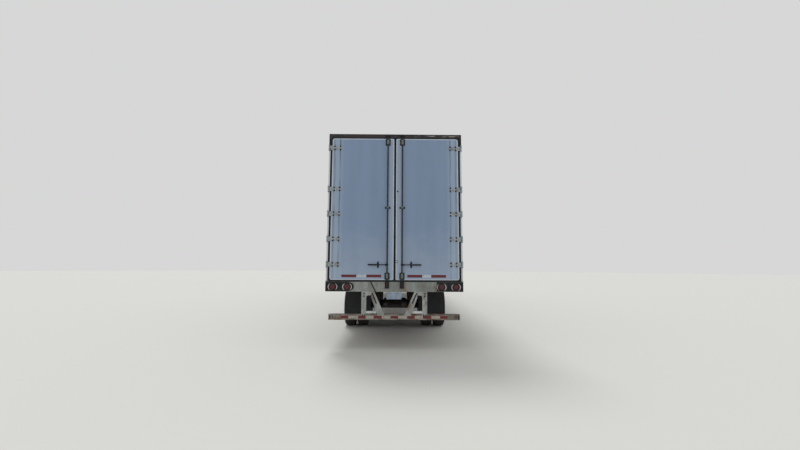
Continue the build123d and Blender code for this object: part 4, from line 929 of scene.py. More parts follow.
# Side walls: joint strips at every wall post, riveted both edges, rivet rows along both rails, and tape
def sideDetails(sideName, sign):
    size = {
        "pitch": 1.2192, "stripWidth": 0.098, "stripProud": 0.0014, "rivetPitch": 0.1016, "rivetIn": 0.014,
        "redLength": 0.280, "whiteLength": 0.178, "tapeLow": 1.112, "tapeHigh": 1.162, "tapeProud": 0.0007,
    }
    wallLow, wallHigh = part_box("side_walls")
    railLow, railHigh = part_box("bottom_rails")
    topLow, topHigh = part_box("top_rails")
    count = int((wallHigh.x - wallLow.x) / size["pitch"])
    firstX = (wallLow.x + wallHigh.x) / 2 - size["pitch"] * (count - 1) / 2
    stripLow, stripHigh = railHigh.z + 0.001, topLow.z - 0.001
    half = size["stripWidth"] / 2
    proudY, out = sign * (wallY + size["stripProud"]), (0, sign, 0)
    strip = makeBlock((firstX - half, sign * wallY, stripLow), (firstX + half, proudY, stripHigh), 0.0006, 1)
    finishPiece(arrayRow(strip, count, (size["pitch"], 0, 0)), "wallJoints_" + sideName, "whitePanel", 30)
    rivets = rivetRows(
        (firstX - half + size["rivetIn"], proudY, stripLow + 0.04), out, 0.005, 0.0014,
        (int((stripHigh - stripLow - 0.08) / size["rivetPitch"]) + 1, (0, 0, size["rivetPitch"])),
        (2, (size["stripWidth"] - 2 * size["rivetIn"], 0, 0)), (count, (size["pitch"], 0, 0)),
    )
    finishPiece(rivets, "wallRivets_" + sideName, "aluminium")

    railRun = int((railHigh.x - railLow.x - 0.1) / size["rivetPitch"])
    rows = [
        rivetRows((railLow.x + 0.06, sign * faceY, z), out, 0.0065, 0.0024,
                  (railRun, (size["rivetPitch"], 0, 0)))
        for z, faceY in ((1.312, sideY), (1.236, sideY), (3.972, topHigh.y), (4.046, topHigh.y))
    ]
    finishPiece(rows, "railRivets_" + sideName, "aluminium")

    pair = size["redLength"] + size["whiteLength"]
    groups = int((railHigh.x - railLow.x) / (4 * pair)) + 1
    groupStep = (railHigh.x - railLow.x - 2 * pair - 0.1) / (groups - 1)
    for finish, start, end in (("tapeRed", 0.0, size["redLength"]), ("tapeWhite", size["redLength"], pair)):
        length = makeBlock(
            (railLow.x + 0.05 + start, sign * sideY, size["tapeLow"]),
            (railLow.x + 0.05 + end, sign * (sideY + size["tapeProud"]), size["tapeHigh"]), 0.0002, 1,
        )
        arrayRow(length, 2, (pair, 0, 0))
        finishPiece(arrayRow(length, groups, (groupStep, 0, 0)), f"side_{finish}_{sideName}", finish)


# Mud flaps: rubber sheets that hang from a bar, curled a little where they have been blown forward
def mudFlaps():
    size = {"inner": 0.590, "outer": 1.200, "thick": 0.008, "corner": 0.030, "rows": 16, "columns": 14,
            "curl": 0.030, "ripple": 0.004, "bolts": 5}
    low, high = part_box("mud_flaps")
    middleX = (low.x + high.x) / 2
    tall, wide = high.z - low.z, size["outer"] - size["inner"]
    flaps, bars, places = [], [], []
    for _, sign in sides:
        startY, endY = sorted((sign * size["inner"], sign * size["outer"]))
        bpy.ops.mesh.primitive_plane_add(
            size=1.0, location=(middleX, (startY + endY) / 2, (low.z + high.z) / 2),
            rotation=(0, math.pi / 2, 0)
        )
        flap = bpy.context.object
        flap.scale = (tall, wide, 1)
        applyPlace(flap)
        openEdit(flap)
        bpy.ops.mesh.bevel(offset=size["corner"], segments=4, affect="VERTICES")
        cuts = [((0, 0, low.z + tall * row / size["rows"]), (0, 0, 1)) for row in range(1, size["rows"])]
        cuts += [((0, startY + wide * column / size["columns"], 0), (0, 1, 0))
                 for column in range(1, size["columns"])]
        for place, across in cuts:
            bpy.ops.mesh.select_all(action="SELECT")
            bpy.ops.mesh.bisect(plane_co=place, plane_no=across)
        mesh = bmesh.from_edit_mesh(flap.data)
        for vertex in mesh.verts:
            down = (high.z - vertex.co.z) / tall
            across = (vertex.co.y - startY) / wide
            wave = math.sin(across * 2.6 * math.pi + sign) * size["ripple"] * down
            vertex.co.x += size["curl"] * down ** 2.2 * (0.7 + 0.3 * math.cos(across * math.pi * sign)) + wave
        bmesh.update_edit_mesh(flap.data)
        bpy.ops.object.mode_set(mode="OBJECT")
        pickOnly(flap)
        sheet = flap.modifiers.new("sheet", "SOLIDIFY")
        sheet.thickness = size["thick"]
        sheet.offset = 0.0
        bpy.ops.object.modifier_apply(modifier=sheet.name)
        flaps.append(flap)
        barX = middleX - size["thick"] / 2
        bars.append(makeBlock(
            (barX - 0.005, startY + 0.012, high.z - 0.048), (barX, endY - 0.012, high.z - 0.010), 0.0015, 1
        ))
        places += [(barX - 0.005, startY + 0.06 + (wide - 0.12) * index / (size["bolts"] - 1), high.z - 0.029)
                   for index in range(size["bolts"])]
    finishPiece(bars + [boltsAt(places, (-1, 0, 0), 0.016, 0.009)], "flapClamps", "doorGear")
    finishPiece(flaps, "mudFlaps", "flap", node="mud_flaps")


# Air springs: a rubber sleeve that rolls down over its piston, crimped to a bead plate at the top
def airSprings():
    size = {"radius": 0.130, "steps": 40}
    low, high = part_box("air_springs")
    base, top = low.z, high.z
    sleeve = [
        (top - 0.018, 0.112), (top - 0.022, 0.118), (top - 0.034, 0.117), (top - 0.042, 0.121),
        (top - 0.075, 0.1265),
        (top - 0.130, 0.1295), (base + 0.150, 0.1295), (base + 0.118, 0.1275), (base + 0.096, 0.120),
        (base + 0.084, 0.108), (base + 0.082, 0.098), (base + 0.090, 0.091), (base + 0.110, 0.0885),
        (top - 0.018, 0.0885),
    ]
    piston = [(base, 0.0005), (base, 0.080), (base + 0.010, 0.088), (base + 0.110, 0.086),
              (base + 0.125, 0.080), (base + 0.125, 0.0005)]
    beadPlate = [(top, 0.0005), (top, 0.112), (top - 0.006, 0.1165), (top - 0.018, 0.1165),
                 (top - 0.020, 0.100), (top - 0.020, 0.0005)]
    sleeves, pistons = [], []
    for centreX in (low.x + size["radius"], high.x - size["radius"]):
        for _, sign in sides:
            centre = (centreX, sign * (high.y - size["radius"]), 0)
            sleeves.append(makeTurned(sleeve, centre, "Z", size["steps"]))
            pistons += [makeTurned(profile, centre, "Z", size["steps"]) for profile in (piston, beadPlate)]
    finishPiece(sleeves, "airSpringSleeves", "bellows", node="air_springs")
    finishPiece(pistons, "airSpringPistons", "chassis")


# Load space: slotted posts on the walls at 16 inch centres, over the liner
def loadSpace():
    size = {"pitch": 0.4064, "first": 0.30, "width": 0.044, "proud": 0.0022, "slotPitch": 0.0508, "slots": 44,
            "slotIn": 0.014, "slotTall": 0.026, "rise": 0.35, "top": 3.92}
    wallLow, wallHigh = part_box("side_walls")
    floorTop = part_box("floor")[1].z
    count = int((wallHigh.x - wallLow.x) / size["pitch"])
    startX, slotZ = wallLow.x + size["first"], floorTop + size["rise"] + 0.03
    posts, slots = [], []
    for _, sign in sides:
        wallFace = sign * linerY
        face = wallFace - sign * size["proud"]
        post = makeBlock(
            (startX, wallFace, floorTop + size["rise"]), (startX + size["width"], face, size["top"]), 0.0008, 1
        )
        posts.append(arrayRow(post, count, (size["pitch"], 0, 0)))
        # Slots: thin dark blocks painted as the shade inside them
        slot = makeBlock(
            (startX + size["slotIn"], face, slotZ),
            (startX + size["width"] - size["slotIn"], face - sign * 0.0004, slotZ + size["slotTall"]),
        )
        arrayRow(slot, size["slots"], (0, 0, size["slotPitch"]))
        slots.append(arrayRow(slot, count, (size["pitch"], 0, 0)))
    finishPiece(posts, "slottedPosts", "rails", 30)
    finishPiece(slots, "postSlots", "seal", 30, slot="galvanised_steel")


for sideName, sign in sides:
    sideDetails(sideName, sign)
mudFlaps()
airSprings()
loadSpace()
print("Body details made")


# Door gear, modelled for the left door and mirrored for the right: strap hinges, rod guides, rods and handles
def strapHinge():
    size = {"end": 1.043, "neck": 1.259, "half": 0.0425, "waistAt": 1.1325, "waistHalf": 0.032, "waist": 0.012,
            "corner": 0.010, "thick": 0.006, "eye": 0.0125}
    face = doorFaceX - size["thick"]
    half, waist, end, corner = size["half"], size["waist"], size["end"], size["corner"]
    waistIn, waistOut = size["waistAt"] - size["waistHalf"], size["waistAt"] + size["waistHalf"]
    upper = [
        (size["neck"], half), (waistOut, half), (waistOut - waist, half - waist),
        (waistIn + waist, half - waist),
        (waistIn, half), (end + corner, half), (end + 0.3 * corner, half - 0.3 * corner), (end, half - corner),
    ]
    edge = upper + [(y, -z) for y, z in reversed(upper)]
    strap = makePlate([(face, y, z) for y, z in edge], (size["thick"], 0, 0), 0.0015)
    rib = makeBlock((face - 0.0025, end + 0.012, -0.010), (face + 0.001, size["neck"] - 0.020, 0.010), 0.0022)

    # The eye: the strap rolled round the pin, tangent to its flat stretch
    pin = Vector((pinX, pinY, 0))
    ends = []
    for spot, way in ((Vector((doorFaceX, size["neck"], 0)), 1), (Vector((face, size["neck"], 0)), -1)):
        run = spot - pin
        turn = math.atan2(run.y, run.x) + way * math.acos(size["eye"] / run.length)
        ends.append((spot, math.degrees(turn)))
    (root, startTurn), (tip, endTurn) = ends
    turns = [startTurn + (endTurn + 360 - startTurn) * index / 18 for index in range(19)]
    rolled = [root] + [pin + onCircle(turn, "Z") * size["eye"] for turn in turns] + [tip]
    eye = makePlate([point - Vector((0, 0, half)) for point in rolled], (0, 0, 2 * half), 0.0012)
    return joinPieces([strap, eye, rib])


# One rod guide: a grey bearing block between two dark flanges, with a saddle over the rod
def rodGuide(low, top, saddleLow, saddleTop):
    size = {"half": 0.049, "flange": 0.022, "proud": 0.011, "thick": 0.005, "saddle": 0.019, "corner": 0.018}
    small = top - low < 0.05
    y0, y1 = rodY - size["half"], rodY + size["half"]
    corner = min(size["corner"], (top - low) / 3)
    corners = ((y1 - corner, top - corner, 0), (y0 + corner, top - corner, 90),
               (y0 + corner, low + corner, 180), (y1 - corner, low + corner, 270))
    outline = [Vector((doorFaceX, y, z)) + onCircle(start + 22.5 * step, "X") * corner
               for y, z, start in corners for step in range(5)]
    plate = makePlate(outline, (-size["thick"], 0, 0), 0.0012)
    grow = 0.004 if small else -0.3 * corner
    wide = size["flange"] + (0.006 if small else 0.0)
    front, back = doorFaceX - size["proud"], doorFaceX - 0.001
    flanges = [makeBlock((front, edge, low - grow), (back, edge + wide, top + grow), 0.0045, 3)
               for edge in (y0 - max(grow, 0.0), y1 + max(grow, 0.0) - wide)]
    if not small:
        flanges += [makeBlock((front + 0.002, y0 + 0.012, z), (back, y1 - 0.012, z + 0.012), 0.003)
                    for z in (low + 0.002, top - 0.014)]
    rod, radius = Vector((rodX, rodY, saddleLow)), size["saddle"]
    arch = [rod + onCircle(-90 - turn, "Z") * radius for turn in range(0, 181, 15)]
    arch = [(doorFaceX, rodY - radius, saddleLow), *arch, (doorFaceX, rodY + radius, saddleLow)]
    saddle = makePlate(arch, (0, 0, saddleTop - saddleLow), 0.0015)
    return plate, flanges, saddle


# Lock rod with a cam and its collar at each end
def lockRod():
    size = {"radius": 0.0135, "low": 1.140, "top": 4.101, "cams": ((1.160, 1.225), (4.056, 4.091)),
            "reach": 0.022, "half": 0.011}
    parts = [makeRod((rodX, rodY, size["low"]), (rodX, rodY, size["top"]), size["radius"], 28, 0.0015)]
    tip, half = rodX + size["reach"], size["half"]
    tongue = [(rodX, -half), (tip - 0.007, -half), (tip, -0.005), (tip, 0.004), (tip - 0.004, half),
              (rodX, half)]
    for low, top in size["cams"]:
        collar = [(low, 0.0005), (low, 0.0165), (low + 0.002, 0.0185), (top - 0.002, 0.0185), (top, 0.0165),
                  (top, 0.0005)]
        parts.append(makeTurned(collar, (rodX, rodY, 0), "Z", 28))
        parts.append(makePlate([(x, rodY + across, low) for x, across in tongue], (0, 0, top - low), 0.002))
    return joinPieces(parts)


# Handle: a flat bar in a clamp on the rod, forged thicker and rounded where the hand takes it
def lockHandle():
    size = {"end": 0.505, "grip": 0.340, "thick": 0.009, "gripThick": 0.015, "half": 0.008, "gripHalf": 0.0145,
            "collar": 0.0195, "collarHalf": 0.017}
    x, y, z = rodX, rodY, handleZ
    tall, wide = size["collarHalf"], size["collar"]
    profile = [(-tall, 0.0138), (-tall, wide - 0.002), (-tall + 0.002, wide), (tall - 0.002, wide),
               (tall, wide - 0.002), (tall, 0.0138)]
    collar = makeTurned(profile, (x, y, z), "Z", 28)
    lug = makeBlock((x - 0.0125, y + 0.012, z - 0.015), (x + 0.0125, y + 0.042, z + 0.015), 0.004, 3)
    clampBolt = makeBolt((x - 0.0125, y + 0.030, z), (-1, 0, 0), 0.013, 0.006)
    deep, gripX = size["thick"] / 2, x + size["gripThick"] / 2
    bar = makeBlock(
        (x - deep, y + 0.030, z - size["half"]), (x + deep, size["grip"] + 0.010, z + size["half"]), 0.002
    )
    nose = [(size["grip"], 0.008), (size["grip"] + 0.010, size["gripHalf"]),
            (size["end"] - 0.014, size["gripHalf"]), (size["end"] - 0.004, 0.009), (size["end"], 0.0)]
    edge = nose + [(along, -rise) for along, rise in reversed(nose[:-1])]
    grip = makePlate([(gripX, along, z + rise) for along, rise in edge], (-size["gripThick"], 0, 0), 0.0035)
    catch = makeRod((x + deep + 0.004, retainerY, z), (x - deep - 0.004, retainerY, z), 0.0165, 24, 0.002)
    return joinPieces([collar, lug, clampBolt, bar, grip, catch])


# Retainer of the handle: an oval forging, dished round the catch, held by two bolts
def handleRetainer():
    size = {"wide": 0.021, "tall": 0.0655, "thick": 0.008, "steps": 32}
    outline = []
    for index in range(size["steps"]):
        spot = onCircle(360 * index / size["steps"], "X")
        outline.append((doorFaceX, retainerY + size["wide"] * spot.y, handleZ + size["tall"] * spot.z))
    plate = makePlate(outline, (-size["thick"], 0, 0), 0.002)
    hook = makeBlock(
        (doorFaceX - 0.020, retainerY - 0.011, handleZ - 0.034),
        (doorFaceX - 0.006, retainerY + 0.011, handleZ - 0.014), 0.003
    )
    return joinPieces([plate, hook])


def doorGear():
    guideRows = ((1.290, 1.424, 1.318, 1.404), (2.640, 2.672, 2.642, 2.670), (3.883, 4.017, 3.903, 3.989))
    strap = strapHinge()
    straps = [copyPiece(strap, (0, 0, z)) for z in hingeHeights]
    bpy.data.objects.remove(strap)
    plates, flanges, saddles = [], [], []
    for row in guideRows:
        plate, sideFlanges, saddle = rodGuide(*row)
        plates.append(plate)
        flanges += sideFlanges
        saddles.append(saddle)
    pieces = (
        ("hingeStraps", straps, "strap", "door_", "door_hardware_"),
        ("guidePlates", plates + saddles, "guideZinc", "door_", None),
        ("guideFlanges", flanges + [handleRetainer()], "doorGear", "door_", None),
        ("lockRod", [lockRod()], "doorGear", "rod_", "lock_rod_"),
        ("lockHandle", [lockHandle()], "handleSteel", "rod_", "lock_handle_"),
    )
    for pieceName, parts, finish, bodyStart, nodeStart in pieces:
        item = joinPieces(parts)
        for piece, (sideName, _) in zip((item, copyPiece(item, mirror=True)), sides):
            node = nodeStart and nodeStart + sideName
            finishPiece(piece, f"{pieceName}_{sideName}", finish, 35, bodyStart + sideName, node=node)


# Small things: a padlock eye by the seam and a buffer on the right door, and heads on the hinge pins
def doorFittings():
    eye, buffer, ear = (doorFaceX, -0.037, 1.628), (doorFaceX, -0.049, 2.978), 0.0555
    fittings = (
        ("sealEyeBase", "doorGear", eye, 28,
         ((0.0, 0.0005), (0.0, 0.0265), (-0.003, 0.0265), (-0.005, 0.0245), (-0.005, 0.0005))),
        ("sealEyeRing", "stepZinc", eye, 28,
         ((-0.004, 0.0005), (-0.004, 0.0190), (-0.009, 0.0180), (-0.012, 0.0140), (-0.012, 0.0070),
          (-0.008, 0.0050), (-0.008, 0.0005))),
        ("doorBuffer", "seal", buffer, 24,
         ((0.0, 0.0005), (0.0, 0.015), (-0.006, 0.0145), (-0.010, 0.011), (-0.011, 0.0005))),
    )
    for pieceName, finish, spot, steps, profile in fittings:
        finishPiece(makeTurned(profile, spot, "X", steps), pieceName, finish, 35, "door_right")
    dome = ((-0.001, 0.0005), (-0.001, 0.0095), (0.003, 0.0085), (0.005, 0.005), (0.0055, 0.0005))
    heads = []
    for _, sign in sides:
        for z in hingeHeights:
            for way in (1, -1):
                profile = [(way * along, radius) for along, radius in dome]
                heads.append(makeTurned(profile, (pinX, sign * pinY, z + way * ear), "Z", 14))
    finishPiece(heads, "hingePinHeads", "bolt")


doorGear()
doorFittings()
print("Door gear made")


# Rear frame: black gasket strips and corner gussets on the posts, a black lip along the sill's top that is
# partly the door seal and partly painted shadow under the doors, header beads
def frameTrim():
    size = {"stripIn": 1.2235, "stripOut": 1.262, "outer": 1.2895, "gussetLow": 3.872, "proud": 0.0012,
            "lip": 0.021}
    face, top = rearX - size["proud"], headerBottom - 0.001
    inner, outer = size["stripOut"], size["outer"]
    gusset = [(inner, size["gussetLow"]), (outer, size["gussetLow"] + 0.020), (outer, top), (inner, top)]
    # The lip along the sill's top: partly the door seal, partly painted shadow under the doors
    strips = [makeBlock((face, -inner, sillTop - size["lip"]), (rearX, inner, sillTop - 0.0005), 0.0005, 1)]
    for _, sign in sides:
        strips.append(
            makeBlock((face, sign * size["stripIn"], sillTop + 0.001), (rearX, sign * inner, top), 0.0005, 1)
        )
        strips.append(makePlate([(rearX, sign * y, z) for y, z in gusset], (-1.5 * size["proud"], 0, 0)))
    finishPiece(strips, "frameGasketsAndSillShadow", "seal", 30)

    # Rain gutter lip along the header's lower edge, and a drip bead along its top
    low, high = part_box("rear_header")
    beads = [
        makeBlock((rearX - proud, low.y + inset, start), (rearX + 0.001, high.y - inset, start + 0.008), 0.002)
        for proud, inset, start in ((0.006, 0.004, low.z + 0.002), (0.005, 0.002, high.z - 0.009))
    ]
    finishPiece(beads, "headerBeads", "chassis")


# Lamp boxes: black, over the ends of the sill; the left one has a rounded inner end, as in the photograph
def lampBoxes():
    size = {"inner": 0.795, "low": 1.076, "top": 1.247, "proud": 0.005, "arcSteps": 12, "arcReach": 0.118,
            "ribs": (1.023, 1.262), "ribHalf": 0.008}
    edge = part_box("lamp_boxes")[1].y
    low, top, inner = size["low"], size["top"], size["inner"]
    middle, half = (top + low) / 2, (top - low) / 2
    arcMiddle = inner + half
    arc = [onCircle(90 + 180 * index / size["arcSteps"], "X") for index in range(1, size["arcSteps"])]
    left = [(edge, low), (edge, top), (arcMiddle, top)]
    left += [(arcMiddle + size["arcReach"] * spot.y, middle + half * spot.z) for spot in arc]
    left.append((arcMiddle, low))
    right = [(-edge, low), (-edge, top), (-inner, top), (-inner, low)]
    boxes = [makePlate([(rearX, y, z) for y, z in outline], (-size["proud"], 0, 0), 0.0015)
             for outline in (left, right)]
    for _, sign in sides:
        for ribY in size["ribs"]:
            boxes.append(makeBlock(
                (rearX - 0.0085, sign * ribY - size["ribHalf"], low + 0.010),
                (rearX - 0.004, sign * ribY + size["ribHalf"], top - 0.010), 0.003,
            ))
    finishPiece(boxes, "lampBoxes", "seal", 35, node="lamp_boxes")


# Marker lamps: a black base with a domed lens over it, in every place where the frame has one
def markerLamps():
    size = {"long": 0.064, "tall": 0.022, "deep": 0.005, "base": 0.0022, "inset": 0.0025}
    headerZ = (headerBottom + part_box("rear_header")[1].z) / 2
    amberLow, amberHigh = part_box("amber_lamps")
    sideZ, noseZ = amberLow.z + size["tall"] / 2, amberHigh.z - size["tall"] / 2
    spots = {
        "redLens": [((rearX, y, headerZ), (-1, 0, 0)) for y in (-1.195, -0.230, 0.0, 0.230, 1.195)],
        "amberLens": [((noseX, sign * 1.065, noseZ), (1, 0, 0)) for _, sign in sides],
    }
    for finish, x in (("redLens", 0.420), ("amberLens", 8.077), ("amberLens", 15.734)):
        spots[finish] += [((rearX + x, sign * sideY, sideZ), (0, sign, 0)) for _, sign in sides]
    bases = []
    lenses = {"redLens": [], "amberLens": []}
    for finish, lamps in spots.items():
        for place, way in lamps:
            place, way = Vector(place), Vector(way)
            along = Vector((0, 1, 0)) if way.x else Vector((1, 0, 0))
            for start, end, inset, edge, found in (
                (-0.001, size["base"], 0.0, 0.001, bases),
                (size["base"] - 0.0005, size["deep"], size["inset"], 0.0022, lenses[finish]),
            ):
                spread = along * (size["long"] / 2 - inset) + Vector((0, 0, size["tall"] / 2 - inset))
                found.append(makeBlock(place - spread + way * start, place + spread + way * end, edge, 3))
    finishPiece(bases, "markerBases", "seal")
    finishPiece(lenses["redLens"], "redMarkers", "redLens")
    finishPiece(lenses["amberLens"], "amberMarkers", "amberLens", node="amber_lamps")


# Steps of the guard: bright plates folded over the ledge between post and brace, their pale zinc partly a
# painted highlight of the ledge, and dark plates in the braces painted as the shade inside their slots
def guardSteps():
    size = {"inner": 0.341, "outer": 0.524, "low": 0.668, "top": 0.7085, "thick": 0.0012, "deep": 0.050,
            "slotLow": 0.860, "slotTop": 1.005, "slotHalf": 0.013, "braceFoot": (0.2435, 0.624),
            "braceHead": (0.425, 1.068)}
    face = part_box("guard_bar")[0].x
    front, cover = face - size["thick"], size["top"] + size["thick"]
    (footY, footZ), (headY, headZ) = size["braceFoot"], size["braceHead"]
    slope = (headY - footY) / (headZ - footZ)
    plates, slots = [], []
    for _, sign in sides:
        y0, y1 = sorted((sign * size["inner"], sign * size["outer"]))
        plates.append(makeBlock((front, y0, size["low"]), (face, y1, cover), 0.0004, 1))
        plates.append(makeBlock((front, y0, size["top"]), (face + size["deep"], y1, cover), 0.0004, 1))
        plates.append(rivetRows(
            (face + 0.014, y0 + 0.018, cover), (0, 0, 1), 0.0055, 0.0018,
            (6, (0, (y1 - y0 - 0.036) / 5, 0)), (2, (0.020, 0, 0)),
        ))
        # Dark plates painted as the shade inside the braces' slots
        outline = []
        for z, start in ((size["slotTop"], 0), (size["slotLow"], 180)):
            for step in range(9):
                spot = onCircle(start + 22.5 * step, "X") * size["slotHalf"]
                braceY = footY + (z + spot.z - footZ) * slope
                outline.append((face - 0.0048, sign * (braceY + spot.y), z + spot.z))
        slots.append(makePlate(outline, (-0.0009, 0, 0)))
    finishPiece(plates, "guardSteps", "stepZinc", 35, slot="guard_galvanised")
    finishPiece(slots, "braceSlots", "seal", 35, slot="dark_hardware")


frameTrim()
lampBoxes()
markerLamps()
guardSteps()
print("Rear frame trimmed")


# Axles: round beams with brake chambers clamped to brackets, push rods, slack adjusters and camshafts
def axleBeams():
    size = {"radius": 0.0635, "spindle": 0.040, "tubeEnd": 0.6977, "spindleEnd": 0.8477, "chamberY": 0.250,
            "chamberHalf": 0.045, "chamberRise": 0.040, "behind": 0.090, "shaftY": 0.655}
    low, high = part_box("axles")
    axleZ = low.z + size["radius"]
    frontX = high.x - size["radius"]
    end, tip, spindle = size["tubeEnd"], size["spindleEnd"], size["spindle"]
    half = [(end - 0.030, size["radius"]), (end, 0.058), (end + 0.012, spindle), (tip - 0.006, spindle),
            (tip, 0.034), (tip, 0.0005)]
    beam = [(-along, radius) for along, radius in reversed(half)] + half
    can = [
        (0.002, 0.0005), (0.002, 0.054), (-0.008, 0.064), (-0.038, 0.070), (-0.046, 0.078), (-0.050, 0.080),
        (-0.058, 0.080), (-0.062, 0.078), (-0.070, 0.068), (-0.084, 0.060), (-0.092, 0.068), (-0.100, 0.078),
        (-0.104, 0.080), (-0.112, 0.080), (-0.116, 0.077), (-0.124, 0.071), (-0.148, 0.060), (-0.158, 0.040),
        (-0.160, 0.0005),
    ]
    parts = []
    for axleX in (frontX - axlePitch, frontX):
        parts.append(makeTurned(beam, (axleX, 0, axleZ), "Y", 36))
        for _, sign in sides:
            chamber = Vector((axleX - size["behind"], sign * size["chamberY"], axleZ + size["chamberRise"]))
            parts.append(makeTurned(can, chamber, "X", 36))
            y0, y1 = chamber.y - size["chamberHalf"], chamber.y + size["chamberHalf"]
            parts.append(makeBlock((chamber.x, y0, axleZ - 0.030), (axleX - 0.040, y1, axleZ + 0.090), 0.004))
            parts += [makeBolt(chamber + Vector((0.050, across, 0.030)), (1, 0, 0), 0.019, 0.012)
                      for across in (-0.030, 0.030)]
            shaft = Vector((axleX - 0.084, sign * 0.280, axleZ - 0.026))
            parts.append(makeRod(shaft, (shaft.x, sign * size["shaftY"], shaft.z), 0.019, 20, 0.002))
            parts.append(makeBlock(
                (shaft.x - 0.006, sign * 0.298, shaft.z - 0.034),
                (shaft.x + 0.022, sign * 0.326, shaft.z + 0.130), 0.008, 3
            ))
    finishPiece(parts, "axleBeams", "chassis", 38, node="axles")


# Trailing arms: a fabricated beam with an eye round its bush, a seat welded to the axle, and a spring plate
def trailingArms():
    size = {"half": 0.040, "eye": 0.055, "bush": 0.038, "axleZ": 0.508, "tail": 0.440}
    arms, bushes = [], []
    for pivotX in pivots:
        axleX, axleZ = pivotX - axleBehind, size["axleZ"]
        tailX = axleX - size["tail"]
        turns = [onCircle(80 - 160 * step / 12) * size["eye"] for step in range(13)]
        edge = [(pivotX + spot.x, pivotZ + spot.z) for spot in turns]
        edge += [(axleX + 0.112, axleZ - 0.068), (axleX + 0.100, axleZ - 0.080), (axleX - 0.088, axleZ - 0.080),
                 (axleX - 0.104, axleZ - 0.070), (tailX + 0.010, pivotZ - 0.040), (tailX, pivotZ - 0.030),
                 (tailX, pivotZ - 0.002), (tailX + 0.004, pivotZ), (axleX + 0.100, axleZ + 0.092)]
        for _, sign in sides:
            middle = sign * armY
            arms.append(
                makePlate([(x, middle - size["half"], z) for x, z in edge], (0, 2 * size["half"], 0), 0.004)
            )
            arms.append(makeBlock(
                (axleX - 0.430, middle - 0.062, pivotZ - 0.010),
                (axleX - 0.190, middle + 0.062, pivotZ - 0.001), 0.003
            ))
            for way in (-1, 1):
                end = middle + way * size["half"]
                ring = [(0.0, size["bush"]), (way * 0.0035, size["bush"]), (way * 0.0035, 0.0225),
                        (0.0, 0.0225)]
                bushes.append(makeTurned(ring, (pivotX, end, pivotZ), "Y", 28))
                for turn in (50, 130, 230, 310):
                    spot = onCircle(turn)
                    place = (axleX + 0.078 * spot.x, end, axleZ + 0.074 * spot.z)
                    bushes.append(makeBolt(place, (0, way, 0), 0.020, 0.010))
    finishPiece(arms, "trailingArms", "chassis", 35, node="trailing_arms")
    finishPiece(bushes, "armBushes", "bolt", 35)


# Slider: pivot bolt heads, shock absorbers, and locking holes along the rails, with pins in four
def sliderDetails():
    size = {"bracket": 0.055, "pitch": 0.1524, "hole": 0.019, "holeZ": 1.060, "faceY": 0.508,
            "foot": (-0.105, 0.500), "head": (0.075, 0.940), "shockIn": 0.085}
    railLow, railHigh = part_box("slider_rails")
    sliderLow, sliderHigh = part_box("slider_frame")
    bolts, shocks, holes, pins = [], [], [], []
    for pivotX in pivots:
        for _, sign in sides:
            for way in (-1, 1):
                face = sign * armY + way * size["bracket"]
                washer = [(0.0, 0.0005), (0.0, 0.042), (way * 0.005, 0.042), (way * 0.006, 0.040),
                          (way * 0.006, 0.0005)]
                bolts.append(makeTurned(washer, (pivotX, face, pivotZ), "Y", 28))
                head = [(pivotX, face + way * reach, pivotZ) for reach in (0.005, 0.026)]
                bolts.append(makeRod(*head, 0.030, 6, 0.003))
            shockY = sign * (armY - size["shockIn"])
            foot, head = (Vector((pivotX - axleBehind + x, shockY, z)) for x, z in (size["foot"], size["head"]))
            run = (head - foot).normalized()
            shocks.append(makeRod(foot + run * 0.02, foot + run * 0.215, 0.026, 24, 0.003))
            shocks.append(makeRod(foot + run * 0.150, head - run * 0.02, 0.033, 24, 0.003))
            for place, reach in ((foot, 0.055), (head, 0.044)):
                across = Vector((0, 0.026, 0))
                shocks.append(makeRod(place - across, place + across, 0.024, 20, 0.003))
                shocks.append(makeRod(place, place + Vector((0, sign * reach, 0)), 0.011, 14))
    count = int((railHigh.x - railLow.x - 0.2) / size["pitch"])
    for _, sign in sides:
        # Locking holes: dark discs painted as the shade inside them
        ring = [(-sign * 0.0002, size["hole"]), (sign * 0.0012, size["hole"]), (sign * 0.0012, 0.0005),
                (-sign * 0.0002, 0.0005)]
        hole = makeTurned(ring, (railLow.x + 0.12, sign * size["faceY"], size["holeZ"]), "Y", 16)
        holes.append(arrayRow(hole, count, (size["pitch"], 0, 0)))
        collar = [(0.0, 0.0005), (0.0, 0.030), (0.004, 0.030), (0.004, 0.019), (0.020, 0.018), (0.022, 0.0005)]
        collar = [(sign * along, radius) for along, radius in collar]
        for x in (sliderLow.x + 0.30, sliderHigh.x - 0.30):
            pins.append(makeTurned(collar, (x, sign * size["faceY"], size["holeZ"]), "Y", 24))
    finishPiece(bolts, "pivotBolts", "bolt", 35)
    finishPiece(shocks, "shockAbsorbers", "doorGear", 35)
    finishPiece(holes, "railHoles", "seal", 30, slot="galvanised_steel")
    finishPiece(pins, "lockingPins", "bolt", 35)


